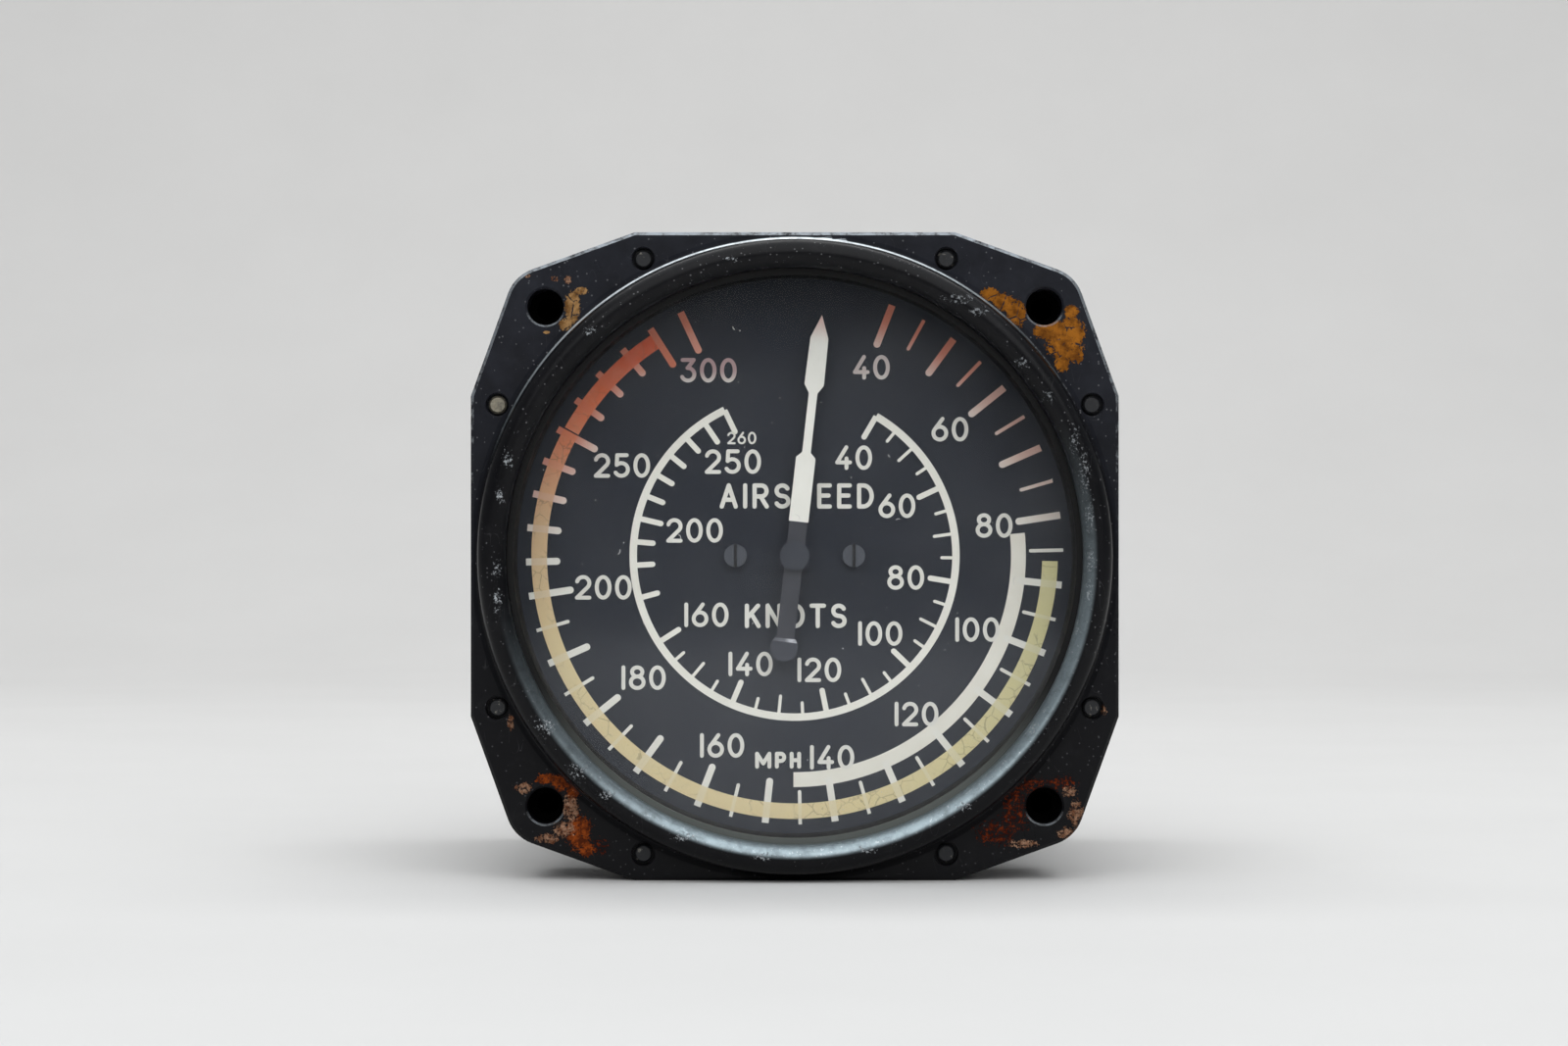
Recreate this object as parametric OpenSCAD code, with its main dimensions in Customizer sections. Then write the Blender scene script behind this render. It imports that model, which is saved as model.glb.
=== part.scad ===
// Airspeed indicator: a round panel instrument with a square lobed flange.
// Every piece is drawn with the dial facing +Z and 12 o'clock at +Y, then turned once
// by facing(), so that the dial faces -Y and 12 o'clock is +Z.
// The origin is the middle of the four panel screws, on the front face of the flange.

/* [Mounting flange] */
// Diameter of the circle through the four panel screw holes
mount_circle_d = 88.9; // [87:0.1:92]
// Diameter of each panel screw hole
mount_hole_d = 4.6; // [3.6:0.1:5]
// Metal left around each panel screw hole
lobe_wall = 2.75; // [2:0.05:4]
// Length of the straight flat on each side of the flange
flange_flat_len = 40.4; // [30:0.2:46]
// Step from the foot of the raised ring out to the flats
flange_margin = 1; // [0.8:0.1:2]
// Thickness of the bezel's flange
bezel_flange_t = 5; // [4:0.1:6]
// Thickness of the case's flange
case_flange_t = 4.5; // [3.5:0.1:7]
// Diameter of the tapped hole behind each panel screw hole
mount_tap_d = 2.8; // [2.4:0.1:3.2]
// Length of the lugs behind the case's flange that the panel screws go into
mount_lug_len = 8; // [6:0.1:12]
// Chamfer along the outer edge of both flanges
edge_chamfer = 0.4; // [0.2:0.05:0.7]

/* [Bezel ring and glass] */
// Diameter of the cover glass
glass_d = 76.4; // [75:0.1:77]
// Thickness of the cover glass
glass_t = 2.4; // [2:0.1:3]
// Gap around the edge of the glass
glass_clear = 0.2; // [0.1:0.05:0.3]
// Wall of the raised ring outside the glass
ring_wall = 1.45; // [1.2:0.05:1.8]
// How far the rolled lip covers the edge of the glass
lip_overlap = 2.05; // [1.6:0.05:2.4]
// Height of the ring's crown above the flange
ring_h = 4; // [3.6:0.1:5]
// Depth from the crown to the glass seat
lip_t = 2.4; // [2.2:0.1:3]
// Fillet between the ring and the flange
ring_fillet = 0.7; // [0.3:0.05:0.9]
// Thickness of the gasket in front of the glass
front_gasket_t = 0.8; // [0.5:0.05:1]
// How far the front gasket shows inside the lip
gasket_show = 0.75; // [0.4:0.05:1]
// Thickness of the gasket behind the glass
rear_gasket_t = 0.8; // [0.5:0.05:1]
// Length of the ring that holds the glass off the case
spacer_len = 6.6; // [5.5:0.1:8]
// Wall of the spacer ring
spacer_wall = 2; // [1.6:0.1:2.4]

/* [Case] */
// Wall of the case tube
case_wall = 2.8; // [2.4:0.1:3.5]
// Thickness of the rear wall
case_back_t = 4; // [3:0.1:6]
// Rounding of the rear edge
case_round = 3; // [1:0.25:4]
// Height of the bosses that carry the movement
boss_h = 4; // [3:0.1:6]
// Radius of those bosses
boss_r = 4; // [3.5:0.1:5]
// Diameter of the tapped hole of each pressure port
port_hole_d = 8.74; // [8:0.02:10]
// Depth of the tapped hole of each pressure port
port_depth = 9.5; // [8:0.1:9.8]
// Diameter of each port boss
port_boss_d = 15; // [13:0.1:18]
// Height of each port boss behind the rear wall
port_boss_h = 6; // [6:0.1:9]
// Distance of the static port below the axis
static_drop = 21; // [18:0.1:23]
// Diameter of the air passage from a port to the inside
passage_d = 2.4; // [1.5:0.1:3]

/* [Dial] */
// How much smaller the dial's radius is than the radius of the glass
dial_inset = 2; // [1.6:0.1:2.2]
// Gap between the dial and the case bore
dial_clear = 0.4; // [0.2:0.05:0.5]
// Gap between the spacer ring and the face of the dial
dial_gap = 0.5; // [0.3:0.1:1]
// Thickness of the dial plate
dial_t = 1; // [0.8:0.1:1.5]
// Thickness of the printed marks
print_t = 0.1; // [0.05:0.01:0.2]
// Bare edge of the dial outside the graduations
tick_margin = 1.7; // [1.2:0.1:2.5]
// Length of a long graduation
tick_long = 5.8; // [5:0.1:6.5]
// Length of a short graduation
tick_short = 4.4; // [3.5:0.1:4.8]
// Width of a tens graduation
tick_wide = 0.9; // [0.6:0.05:1.1]
// Width of a fives graduation
tick_thin = 0.45; // [0.3:0.05:0.6]
// Outer edge of the flap arc, inward from the graduations' ends
white_arc_inset = 4.8; // [4.6:0.05:5.4]
// Width of the flap arc
white_arc_w = 1.9; // [1:0.1:2.4]
// Outer edge of the coloured arcs, inward from the graduations' ends
range_arc_inset = 0.7; // [0.4:0.05:1]
// Width of the coloured arcs
range_arc_w = 2; // [1:0.1:2.4]
// Width of a broad graduation of the inner scale
knots_wide = 0.7; // [0.5:0.05:0.9]
// Width of a thin graduation of the inner scale
knots_thin = 0.4; // [0.3:0.05:0.6]
// Outer radius of the inner scale's circle
knots_r = 21.2; // [20:0.1:23]
// Width of the inner scale's circle
knots_ring_w = 0.95; // [0.5:0.05:1.2]
// Length of a long graduation of the inner scale
knots_long = 3.4; // [2.8:0.1:4]
// Length of a medium graduation of the inner scale
knots_medium = 2.8; // [2.2:0.1:3.2]
// Length of a short graduation of the inner scale
knots_short = 2; // [1.2:0.1:2.4]

/* [Pointer] */
// Length of the pointer ahead of its axis
pointer_len = 30.95; // [29:0.05:32]
// Width of the pointer's broad parts
pointer_w = 2.5; // [2:0.1:3]
// Width of the pointer's neck
neck_w = 1.1; // [0.8:0.05:1.4]
// Width of the pointer's tail
tail_w = 2.3; // [1.8:0.1:2.6]
// Distance from the axis to the middle of the balance weight
tail_len = 11.8; // [10:0.1:13]
// Radius of the balance weight
balance_r = 1.75; // [1.5:0.05:2]
// Thickness of the balance weight
balance_t = 0.8; // [0.5:0.1:0.9]
// Thickness of the pointer
pointer_t = 0.4; // [0.3:0.05:0.6]
// Height of the pointer above the dial
pointer_lift = 2.2; // [2.1:0.1:3]
// Radius of the pointer's hub
hub_r = 1.9; // [1.6:0.05:2.2]
// How far the hub stands out in front of the pointer
hub_front = 0.6; // [0.3:0.1:1]
// Where the pointer rests, clockwise from 12 o'clock
rest_angle = 6.5; // [0:0.5:12]

/* [Movement frame] */
// Length of the posts that carry the dial
dial_post_len = 6.5; // [5.5:0.1:8]
// Radius of those posts
dial_post_r = 2; // [1.6:0.1:2.2]
// Distance of each post and dial screw from the axis
dial_post_x = 7.6; // [7.6:0.1:9]
// Radius of the two movement plates
plate_r = 29; // [28.5:0.1:32]
// Thickness of the two movement plates
plate_t = 1.5; // [1.2:0.1:2]
// Distance between the two movement plates
plate_gap = 7; // [6.6:0.1:9]
// Radius of the circle through the pillars
pillar_circle_r = 25; // [24.5:0.1:25.5]
// Radius of the pillars
pillar_r = 2; // [1.8:0.1:2.4]
// Length of the pillars behind the plates
pillar_len = 29; // [27.5:0.1:32]
// Thickness of the base plate
base_t = 2; // [1.5:0.1:3]
// Radius of the round windows in the plates
window_r = 5; // [3:0.1:5.5]
// Distance of those windows from the axis
window_circle_r = 17; // [16.5:0.1:18]

/* [Gear train] */
// Module of the teeth
tooth_module = 0.3; // [0.28:0.005:0.31]
// Teeth on the pinion
pinion_teeth = 16; // [16:1:17]
// Turns of the pinion for one turn of the sector
gear_ratio = 8; // [8:1:8]
// Pressure angle of the teeth
pressure_angle = 25; // [22:0.5:26]
// Play between the teeth, along the pitch circle
backlash = 0.08; // [0.06:0.01:0.12]
// Angle that the pointer turns from its rest to the end of its scale
pointer_travel = 328; // [300:1:330]
// Thickness of the sector
sector_t = 1; // [0.8:0.1:1.2]
// Length of the pinion
pinion_len = 3; // [2:0.1:3.4]
// Height of the sector's pivot above the axis
sector_y = 8; // [7.5:0.1:9]
// Radius of the staff and of the sector's arbor
staff_r = 0.8; // [0.6:0.05:1]
// Radius of the bearing bushes
bush_r = 1.8; // [1.5:0.05:2]
// Distance of the drive pin from the sector's pivot
drive_pin_reach = 6; // [5.6:0.1:6.4]
// Radius of the drive pin and of the finger that lifts it
drive_pin_r = 0.5; // [0.4:0.05:0.6]

/* [Rocking shaft and capsule] */
// Radius of the rocking shaft
rocker_r = 1.1; // [1:0.05:1.3]
// Radius of the rocking shaft's pivots
rocker_pivot_r = 0.6; // [0.5:0.05:0.8]
// Length of the arm that lifts the sector
arm_len = 12; // [11.6:0.1:12.6]
// Thickness of the two levers on the rocking shaft
lever_t = 0.8; // [0.6:0.1:1]
// Distance from each lever to the bracket ear beside it
ear_reach = 3.5; // [3:0.1:3.6]
// Thickness of the bracket
bracket_t = 1; // [0.8:0.1:1.2]
// Radius of the capsule
capsule_r = 21; // [18:0.1:21.5]
// Thickness of the capsule at its middle
capsule_h = 7; // [6:0.1:8]
// Thickness of the capsule's metal
capsule_wall = 0.3; // [0.25:0.01:0.4]
// Number of corrugations in each half of the capsule
capsule_waves = 5; // [4:1:6]
// Height of the corrugations
capsule_wave_h = 0.5; // [0.3:0.05:0.7]
// Radius of the fork on the capsule's post
post_r = 1.6; // [1.5:0.05:1.9]
// Radius of that post below its fork
post_shank_r = 1; // [0.9:0.05:1.3]
// Radius of the cross pin in the post's fork
link_pin_r = 0.4; // [0.35:0.05:0.5]
// Radius of the capsule's stem
stem_r = 2.5; // [2.3:0.1:2.8]
// Number of turns of the hairspring
spring_turns = 5; // [3:1:6]
// Outer radius of the hairspring
spring_r = 5; // [4.4:0.1:5.1]
// Thickness of the hairspring's ribbon
spring_t = 0.12; // [0.08:0.01:0.15]
// Height of the hairspring's ribbon
spring_h = 0.8; // [0.5:0.1:1]

/* [Fasteners] */
// Radius of the screws that hold the bezel to the case
bezel_screw_r = 1.15; // [1:0.05:1.3]
// Radius of their heads
bezel_head_r = 2; // [1.8:0.05:2.1]
// How far their ends sit below the face of the bezel
bezel_screw_recess = 0.35; // [0.2:0.05:0.6]
// Radius of the screws of the movement
frame_screw_r = 1.2; // [1:0.05:1.3]
// Radius of their heads
frame_head_r = 2.3; // [2:0.05:2.5]
// Radius of the dial screws' shanks
dial_screw_r = 0.8; // [0.6:0.05:0.9]
// Radius of the dial screws' heads
dial_head_r = 1.45; // [1.2:0.05:1.6]
// Width of the screw slots
slot_w = 0.45; // [0.3:0.05:0.6]

/* [Clearances] */
// Radial clearance of a running pivot
run_clear = 0.03; // [0.02:0.005:0.05]
// Clearance of a screw in a plain hole
screw_clear = 0.15; // [0.1:0.01:0.2]
// Clearance of a piece that only drops into its place
seat_clear = 0.1; // [0.05:0.01:0.15]
// Gap between the lifting finger and the drive pin
finger_gap = 0.12; // [0.08:0.01:0.2]

/* [Hidden] */
$fn = 72;
// How far a cut runs past the face that it opens
over = 1;

// Radii, worked outward and inward from the glass
glass_r = glass_d / 2;
bezel_bore_r = glass_r + glass_clear;
ring_r = bezel_bore_r + ring_wall;
lip_r = glass_r - lip_overlap;
bead_r = (ring_r - lip_r) / 2;
gasket_in_r = lip_r - gasket_show;
dial_r = glass_r - dial_inset;
case_bore_r = dial_r + dial_clear;
case_r = case_bore_r + case_wall;
spacer_r = case_bore_r + (bezel_bore_r - case_bore_r) / 2 + seat_clear;
spacer_in_r = spacer_r - spacer_wall;

// Flange and its holes
flange_half = ring_r + flange_margin;
flat_half = flange_flat_len / 2;
mount_hole_r = mount_hole_d / 2;
lobe_r = mount_hole_r + lobe_wall;
mount_xy = mount_circle_d / 2 / sqrt(2);
mount_chamfer = 0.25;
mount_tap_r = mount_tap_d / 2;
mount_lug_r = mount_tap_r + lobe_wall;
mount_lug_end = 2;
head_gap = 0.65;
bezel_screw_circle_r = case_r + bezel_head_r + head_gap;
bezel_screw_angle = 27;
bezel_hole_clear = 0.05;
bezel_hole_r = bezel_screw_r + bezel_hole_clear;
bezel_mouth_gap = 0.3;
bezel_mouth_r = bezel_screw_r + bezel_mouth_gap;
bezel_mouth_depth = 1.2;
bezel_mouth_chamfer = 0.1;

// Stack along the axis, from the crown of the ring back to the ports
z_bead = ring_h - bead_r;
z_seat = ring_h - lip_t;
z_glass_front = z_seat - front_gasket_t;
z_glass_back = z_glass_front - glass_t;
z_spacer_front = z_glass_back - rear_gasket_t;
z_ledge = z_spacer_front - spacer_len;
z_dial_front = z_ledge - dial_gap;
z_dial_back = z_dial_front - dial_t;
z_plate1_front = z_dial_back - dial_post_len;
z_plate1_back = z_plate1_front - plate_t;
z_plate2_front = z_plate1_back - plate_gap;
z_plate2_back = z_plate2_front - plate_t;
z_base_front = z_plate2_back - pillar_len;
z_base_back = z_base_front - base_t;
z_floor = z_base_back - boss_h;
z_back = z_floor - case_back_t;
z_port = z_back - port_boss_h;
z_joint = -bezel_flange_t;
z_flange_back = z_joint - case_flange_t;
z_pointer = z_dial_front + pointer_lift;

// Dial scale: degrees clockwise from 12 o'clock for a speed in miles per hour
scale_start = 40;
scale_knee = 200;
scale_end = 300;
scale_start_angle = 21.3;
slow_step = 1.5;
fast_step = 0.736;
fine_count = 5;
coarse_count = 10;
knot = 1.15078;
function speed_angle(v) =
    scale_start_angle + slow_step * (min(v, scale_knee) - scale_start) + fast_step * max(0, v - scale_knee);
tick_r = dial_r - tick_margin;
white_arc_r = tick_r - white_arc_inset;
range_arc_r = tick_r - range_arc_inset;
white_arc_speeds = [82, 146];
green_arc_speeds = [86.6, 250.5];
yellow_arc_speeds = [251.5, 289];
limit_speed = 290;
knots_tick_r = knots_r - knots_ring_w / 2;
knots_start = 40;
knots_knee = 160;
knots_end = 260;
long_knots = [160, 200, 250, 260];
long_speeds = [200, 250, 300];

// Places along the pointer where its outline changes
black_to = 4.4;
broad_to = 12.6;
neck_from = 13.3;
neck_to = 20.9;
lobe_from = 22;
lobe_to = 28;

// Pointer hub and balance weight
hub_shoulder = 0.5;
hub_back = 1;
balance_front = 0.35;
balance_step = 0.75;
balance_slope = 0.45;

// Gear train
pitch1_r = tooth_module * pinion_teeth / 2;
pitch2_r = pitch1_r * gear_ratio;
sector_teeth = pinion_teeth * gear_ratio;
centre_distance = pitch1_r + pitch2_r;
stub_tooth = 0.8;
addendum = stub_tooth * tooth_module;
dedendum = tooth_module;
tooth_thick = PI * tooth_module / 2 - backlash;
sector_x = -sqrt(pow(centre_distance, 2) - pow(sector_y, 2));
mesh_angle = atan2(-sector_y, -sector_x);
sector_travel = pointer_travel / gear_ratio;
tooth_pitch_angle = 360 / sector_teeth;
spare_teeth = 3;
teeth_below = ceil(sector_travel / tooth_pitch_angle) + spare_teeth;
sector_gap = 1.5;
z_sector_front = z_plate1_back - sector_gap;
z_sector_back = z_sector_front - sector_t;
pinion_lead = 1;
z_pinion_front = z_sector_front + pinion_lead;
rim_w = 1.6;
sector_hub_r = 2.6;
spoke_w = 2.4;
drive_angle = -sector_travel / 2;
pivot_out = 0.6;

// Rocking shaft: its arm lifts the drive pin, and its lever is pushed by the capsule
finger_drop = 2;
finger_past = 0.7;
arm_offset = 1.5;
z_rocker = z_sector_back - finger_drop - arm_len;
rocker_y = sector_y - 2 * drive_pin_r - finger_gap;
rocker_swing = asin(drive_pin_reach * sin(sector_travel / 2) / arm_len);
arm_x = sector_x + drive_pin_reach + arm_offset;
capsule_lift = 2 * rocker_y * tan(rocker_swing);
z_link_pin = z_rocker - capsule_lift / 2;
lever_hub_wall = 1.1;
lever_hub_r = rocker_r + lever_hub_wall;
lever_w = 1.7;
lever_tip = 1.2;
arm_w = 1.3;
end_play = 0.1;
ear_x = [arm_x - ear_reach - bracket_t, ear_reach];
arm_slot_x = 3;
arm_slot_y = 5;
bracket_edge = 1.3;
ear_w = arm_slot_y + 2 * bracket_edge;
bracket_screw_x = [-8, 1];
bracket_screw_r = 1;
bracket_head_r = 1.8;

// Capsule and its stem
stem_flange_r = 5;
stem_flange_t = 2;
z_capsule_back = z_base_front + stem_flange_t;
z_capsule_front = z_capsule_back + capsule_h;
z_capsule_mid = (z_capsule_back + z_capsule_front) / 2;
capsule_flat_r = 5;
capsule_rim_w = 1.5;
capsule_steps = 4;
stem_bore_r = passage_d / 2;
stem_nut_t = 2;
stem_nut_r = 4.4;
stem_gasket_t = 0.6;
stem_gasket_r = 3.5;
post_foot_r = 3;
post_foot_t = 0.6;
fork_gap = 0.15;
fork_tip = 1.2;
fork_root = 1.6;
fork_base = 1;

// Hairspring, its collet and its stud
spring_drop = 3.5;
z_spring = z_dial_back - spring_drop;
collet_r = 1.6;
collet_h = 1.2;
stud_r = 0.6;
stud_angle = 90;
spring_gap = 0.05;

// Screw heads and ends
bezel_head_h = 2;
bezel_screw_chamfer = 0.25;
bezel_end_r = bezel_screw_r - bezel_screw_chamfer;
frame_head_h = 1.5;
dial_head_h = 0.9;
slot_depth = 0.5;
case_head_r = 2.6;
case_head_h = 1.8;
screw_depth = 5;
case_slot_turn = 30;
plate_slot_turn = 45;
dial_slot_turn = 90;

// Pillars, the lugs of the plates round their screws, and the windows of the plates
pillar_angles = [90, 210, 330];
window_angles = [270, 330, 210];
lug_wall = 2.1;
lug_r = frame_screw_r + screw_clear + lug_wall;

// General helpers

// Turn a piece drawn facing +Z so that it faces -Y
module facing() {
    rotate([90, 0, 0]) children();
}

// Cylinder between two places on the axis
module rod(r, z0, z1) {
    translate([0, 0, z0]) cylinder(r = r, h = z1 - z0);
}

// Tube between two places on the axis
module tube(r_out, r_in, z0, z1) {
    difference() {
        rod(r_out, z0, z1);
        rod(r_in, z0 - over, z1 + over);
    }
}

// Cylinder along X between two places
module cross_rod(r, x0, x1, y, z) {
    translate([x0, y, z]) rotate([0, 90, 0]) cylinder(r = r, h = x1 - x0);
}

// Flat shape drawn with its first axis along -Z and its second along Y, thickened along X
module side_plate(x, t) {
    translate([x - t / 2, 0, 0]) rotate([0, 90, 0]) linear_extrude(t) children();
}

module at_pillars() {
    for (a = pillar_angles) {
        rotate([0, 0, a]) translate([pillar_circle_r, 0, 0]) children();
    }
}

module at_mount_holes() {
    for (x = [-mount_xy, mount_xy], y = [-mount_xy, mount_xy]) {
        translate([x, y, 0]) children();
    }
}

module at_bezel_screws() {
    for (side = [0 : 90 : 270], s = [-1, 1]) {
        rotate([0, 0, side + s * bezel_screw_angle]) translate([bezel_screw_circle_r, 0, 0]) children();
    }
}

module at_dial_posts() {
    for (x = [-dial_post_x, dial_post_x]) {
        translate([x, 0, 0]) children();
    }
}

module at_sector() {
    translate([sector_x, sector_y, 0]) children();
}

// Straight slot cut into a screw head whose top is at z
module screw_slot(r, z, turn) {
    translate([0, 0, z]) rotate([0, 0, turn]) cube([2 * r + over, slot_w, 2 * slot_depth], center = true);
}

// Screw that points along -Z, with a slotted head on top of z_seat_face
module slotted_screw(shank_r, head_r, head_h, z_seat_face, z_end, turn) {
    difference() {
        union() {
            rod(shank_r, z_end, z_seat_face + over / 4);
            rod(head_r, z_seat_face, z_seat_face + head_h);
        }
        screw_slot(head_r, z_seat_face + head_h, turn);
    }
}

// Bezel, glass and case

// Angle round a panel screw at which the sloping edge from the end of a flat touches its lobe
function lobe_turn() =
    let (dx = flat_half - mount_xy)
    let (dy = flange_half - mount_xy)
    atan2(dy, dx) - acos(lobe_r / norm([dx, dy]));

// Corners of one quarter of the flange: end of a flat, both ends of a lobe, start of the next flat
function flange_corner() =
    let (turn = lobe_turn())
    let (touch = [mount_xy + lobe_r * cos(turn), mount_xy + lobe_r * sin(turn)])
    [[flat_half, flange_half], touch, [touch.y, touch.x], [flange_half, flat_half]];

// Square with sloping shoulders and a round lobe at each panel screw
module flange_outline() {
    corner = flange_corner();
    flipped = [for (i = [3 : -1 : 0]) corner[i]];
    polygon(concat(
        [for (p = corner) p],
        [for (p = flipped) [p.x, -p.y]],
        [for (p = corner) [-p.x, -p.y]],
        [for (p = flipped) [-p.x, p.y]]));
    at_mount_holes() circle(lobe_r);
}

// What a chamfer takes off an edge at [x, 0] whose metal lies below and to the left
module chamfer_section(x) {
    reach = edge_chamfer + over;
    polygon([[x - reach, over], [x + over, -reach], [x + over, over]]);
}

// Chamfer along a straight edge from p to q, with the metal on its right
module straight_chamfer(p, q) {
    along = q - p;
    translate([p.x, p.y, 0]) rotate([90, 0, 90 + atan2(along.y, along.x)]) translate([0, 0, -over])
        linear_extrude(norm(along) + 2 * over) chamfer_section(0);
}

// Chamfer round the outline of a flange whose face is at z = 0
module flange_chamfer() {
    corner = flange_corner();
    turn = lobe_turn();
    for (side = [0 : 90 : 270]) {
        rotate([0, 0, side]) {
            straight_chamfer([-flat_half, flange_half], corner[0]);
            straight_chamfer(corner[0], corner[1]);
            straight_chamfer(corner[2], corner[3]);
            translate([mount_xy, mount_xy, 0]) rotate([0, 0, 90 - turn])
                rotate_extrude(angle = 2 * turn - 90) chamfer_section(lobe_r);
        }
    }
}

// Section of the raised ring: straight wall, half-round crown and a hollow fillet at its foot
module ring_section() {
    translate([lip_r, z_joint]) square([ring_r - lip_r, z_bead - z_joint]);
    translate([lip_r + bead_r, z_bead]) circle(bead_r);
    difference() {
        translate([ring_r - over / 4, -over / 4]) square(ring_fillet + over / 4);
        translate([ring_r + ring_fillet, ring_fillet]) circle(ring_fillet);
    }
}

// What breaks the edge of a hole in the face at z = 0
module countersink(r, chamfer) {
    translate([0, 0, -chamfer]) cylinder(r1 = r, r2 = r + 2 * chamfer, h = 2 * chamfer);
}

module bezel() {
    color("#1c1c1e") facing() difference() {
        union() {
            translate([0, 0, z_joint]) linear_extrude(bezel_flange_t) flange_outline();
            rotate_extrude() ring_section();
        }
        flange_chamfer();
        rod(bezel_bore_r, z_joint - over, z_seat);
        at_mount_holes() {
            rod(mount_hole_r, z_joint - over, over);
            countersink(mount_hole_r, mount_chamfer);
        }
        at_bezel_screws() {
            rod(bezel_hole_r, z_joint - over, over);
            rod(bezel_mouth_r, -bezel_mouth_depth, over);
            countersink(bezel_mouth_r, bezel_mouth_chamfer);
        }
    }
}

module cover_glass() {
    color("#c8d4d2", 0.3) facing() rod(glass_r, z_glass_back, z_glass_front);
}

module front_gasket() {
    color("#2a2a2a") facing() tube(glass_r, gasket_in_r, z_glass_front, z_seat);
}

module rear_gasket() {
    color("#2a2a2a") facing() tube(spacer_r, spacer_in_r, z_spacer_front, z_glass_back);
}

module spacer_ring() {
    color("#242426") facing() tube(spacer_r, spacer_in_r, z_ledge, z_spacer_front);
}

// Section of the case: tube with a counterbore for the spacer ring and a rounded rear edge
module case_section() {
    difference() {
        union() {
            translate([0, z_back]) square([case_r - case_round, z_floor - z_back]);
            translate([0, z_back + case_round]) square([case_r, z_joint - z_back - case_round]);
            translate([case_r - case_round, z_back + case_round]) circle(case_round);
        }
        translate([-over, z_floor]) square([case_bore_r + over, z_joint - z_floor + over]);
        translate([0, z_ledge]) square([spacer_r + seat_clear, z_joint - z_ledge + over]);
    }
}

// Round lugs behind the panel screw holes, each on a web from the tube
module mount_lugs() {
    translate([0, 0, z_flange_back - mount_lug_len]) linear_extrude(mount_lug_len + over) {
        at_mount_holes() circle(mount_lug_r);
        for (a = [45 : 90 : 315]) {
            rotate([0, 0, a]) translate([case_r - over, -mount_lug_r / 2])
                square([mount_circle_d / 2 - case_r + over, mount_lug_r]);
        }
    }
}

module case() {
    color("#1c1c1e") facing() difference() {
        union() {
            rotate_extrude() case_section();
            translate([0, 0, z_flange_back]) linear_extrude(case_flange_t) difference() {
                flange_outline();
                circle(spacer_r + seat_clear);
            }
            mount_lugs();
            rod(port_boss_d / 2, z_port, z_back + over);
            translate([0, -static_drop, 0]) rod(port_boss_d / 2, z_port, z_back + over);
            at_pillars() rod(boss_r, z_floor - over, z_base_back);
        }
        translate([0, 0, z_flange_back]) mirror([0, 0, 1]) flange_chamfer();
        at_mount_holes() rod(mount_tap_r, z_flange_back - mount_lug_len + mount_lug_end, z_joint + over);
        at_bezel_screws() rod(bezel_screw_r + screw_clear, z_flange_back - over, z_joint + over);
        at_pillars() rod(frame_screw_r + screw_clear, z_back - over, z_base_back + over);
        for (drop = [0, static_drop]) {
            translate([0, -drop, 0]) {
                rod(port_hole_d / 2, z_port - over, z_port + port_depth);
                rod(passage_d / 2, z_port, z_floor + over);
            }
        }
    }
}

// Screws from behind the case flange, with chamfered ends just below the face of the bezel
module bezel_screws() {
    z_end = -bezel_screw_recess;
    z_chamfer = z_end - bezel_screw_chamfer;
    color("#5a564c") facing() at_bezel_screws() difference() {
        union() {
            rod(bezel_screw_r, z_flange_back - over / 4, z_chamfer);
            translate([0, 0, z_chamfer])
                cylinder(r1 = bezel_screw_r, r2 = bezel_end_r, h = bezel_screw_chamfer);
            rod(bezel_head_r, z_flange_back - bezel_head_h, z_flange_back);
        }
        screw_slot(bezel_head_r, z_flange_back - bezel_head_h, 0);
    }
}

// Screws from outside the rear wall into the pillars of the movement
module case_screws() {
    color("#8a8578") facing() at_pillars() difference() {
        union() {
            rod(frame_screw_r, z_back - over / 4, z_base_front + screw_depth);
            rod(case_head_r, z_back - case_head_h, z_back);
        }
        screw_slot(case_head_r, z_back - case_head_h, case_slot_turn);
    }
}

// Dial and its print

module dial() {
    color("#1b1c1f") facing() difference() {
        rod(dial_r, z_dial_back, z_dial_front);
        rod(staff_r + over, z_dial_back - over, z_dial_front + over);
        at_dial_posts() rod(dial_screw_r + screw_clear, z_dial_back - over, z_dial_front + over);
    }
}

// One graduation at a dial angle, from a radius inward, with a round inner end
module tick(angle, r_out, len, w) {
    rotate([0, 0, -angle]) translate([0, r_out - len + w / 2]) {
        translate([-w / 2, 0]) square([w, len - w / 2]);
        circle(w / 2);
    }
}

// Flat ring sector between two dial angles
module arc_band(a0, a1, r_out, w) {
    quarter = (a1 - a0) / 4;
    rotate([0, 0, 90 - a1]) intersection() {
        difference() {
            circle(r_out);
            circle(r_out - w);
        }
        polygon(concat([[0, 0]], [for (i = [0 : 4]) 2 * r_out * [cos(i * quarter), sin(i * quarter)]]));
    }
}

module print_layer() {
    facing() translate([0, 0, z_dial_front]) linear_extrude(print_t) children();
}

// Outer scale: fives and tens up to the knee, then tens, with the limit left to its own mark
module mph_ticks() {
    for (v = [scale_start : fine_count : scale_knee - fine_count]) {
        tens = v % coarse_count == 0;
        tick(speed_angle(v), tick_r, tens ? tick_long : tick_short, tens ? tick_wide : tick_thin);
    }
    for (v = [for (i = [scale_knee : coarse_count : scale_end]) if (i != limit_speed) i]) {
        tick(speed_angle(v), tick_r, search(v, long_speeds) == [] ? tick_short : tick_long, tick_wide);
    }
}

module limit_tick() {
    tick(speed_angle(limit_speed), tick_r, tick_long, tick_wide);
}

module mph_marks() {
    color("#e9e2cf") print_layer() mph_ticks();
}

module knots_tick(k, len, w) {
    tick(speed_angle(k * knot), knots_tick_r, len, w);
}

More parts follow.
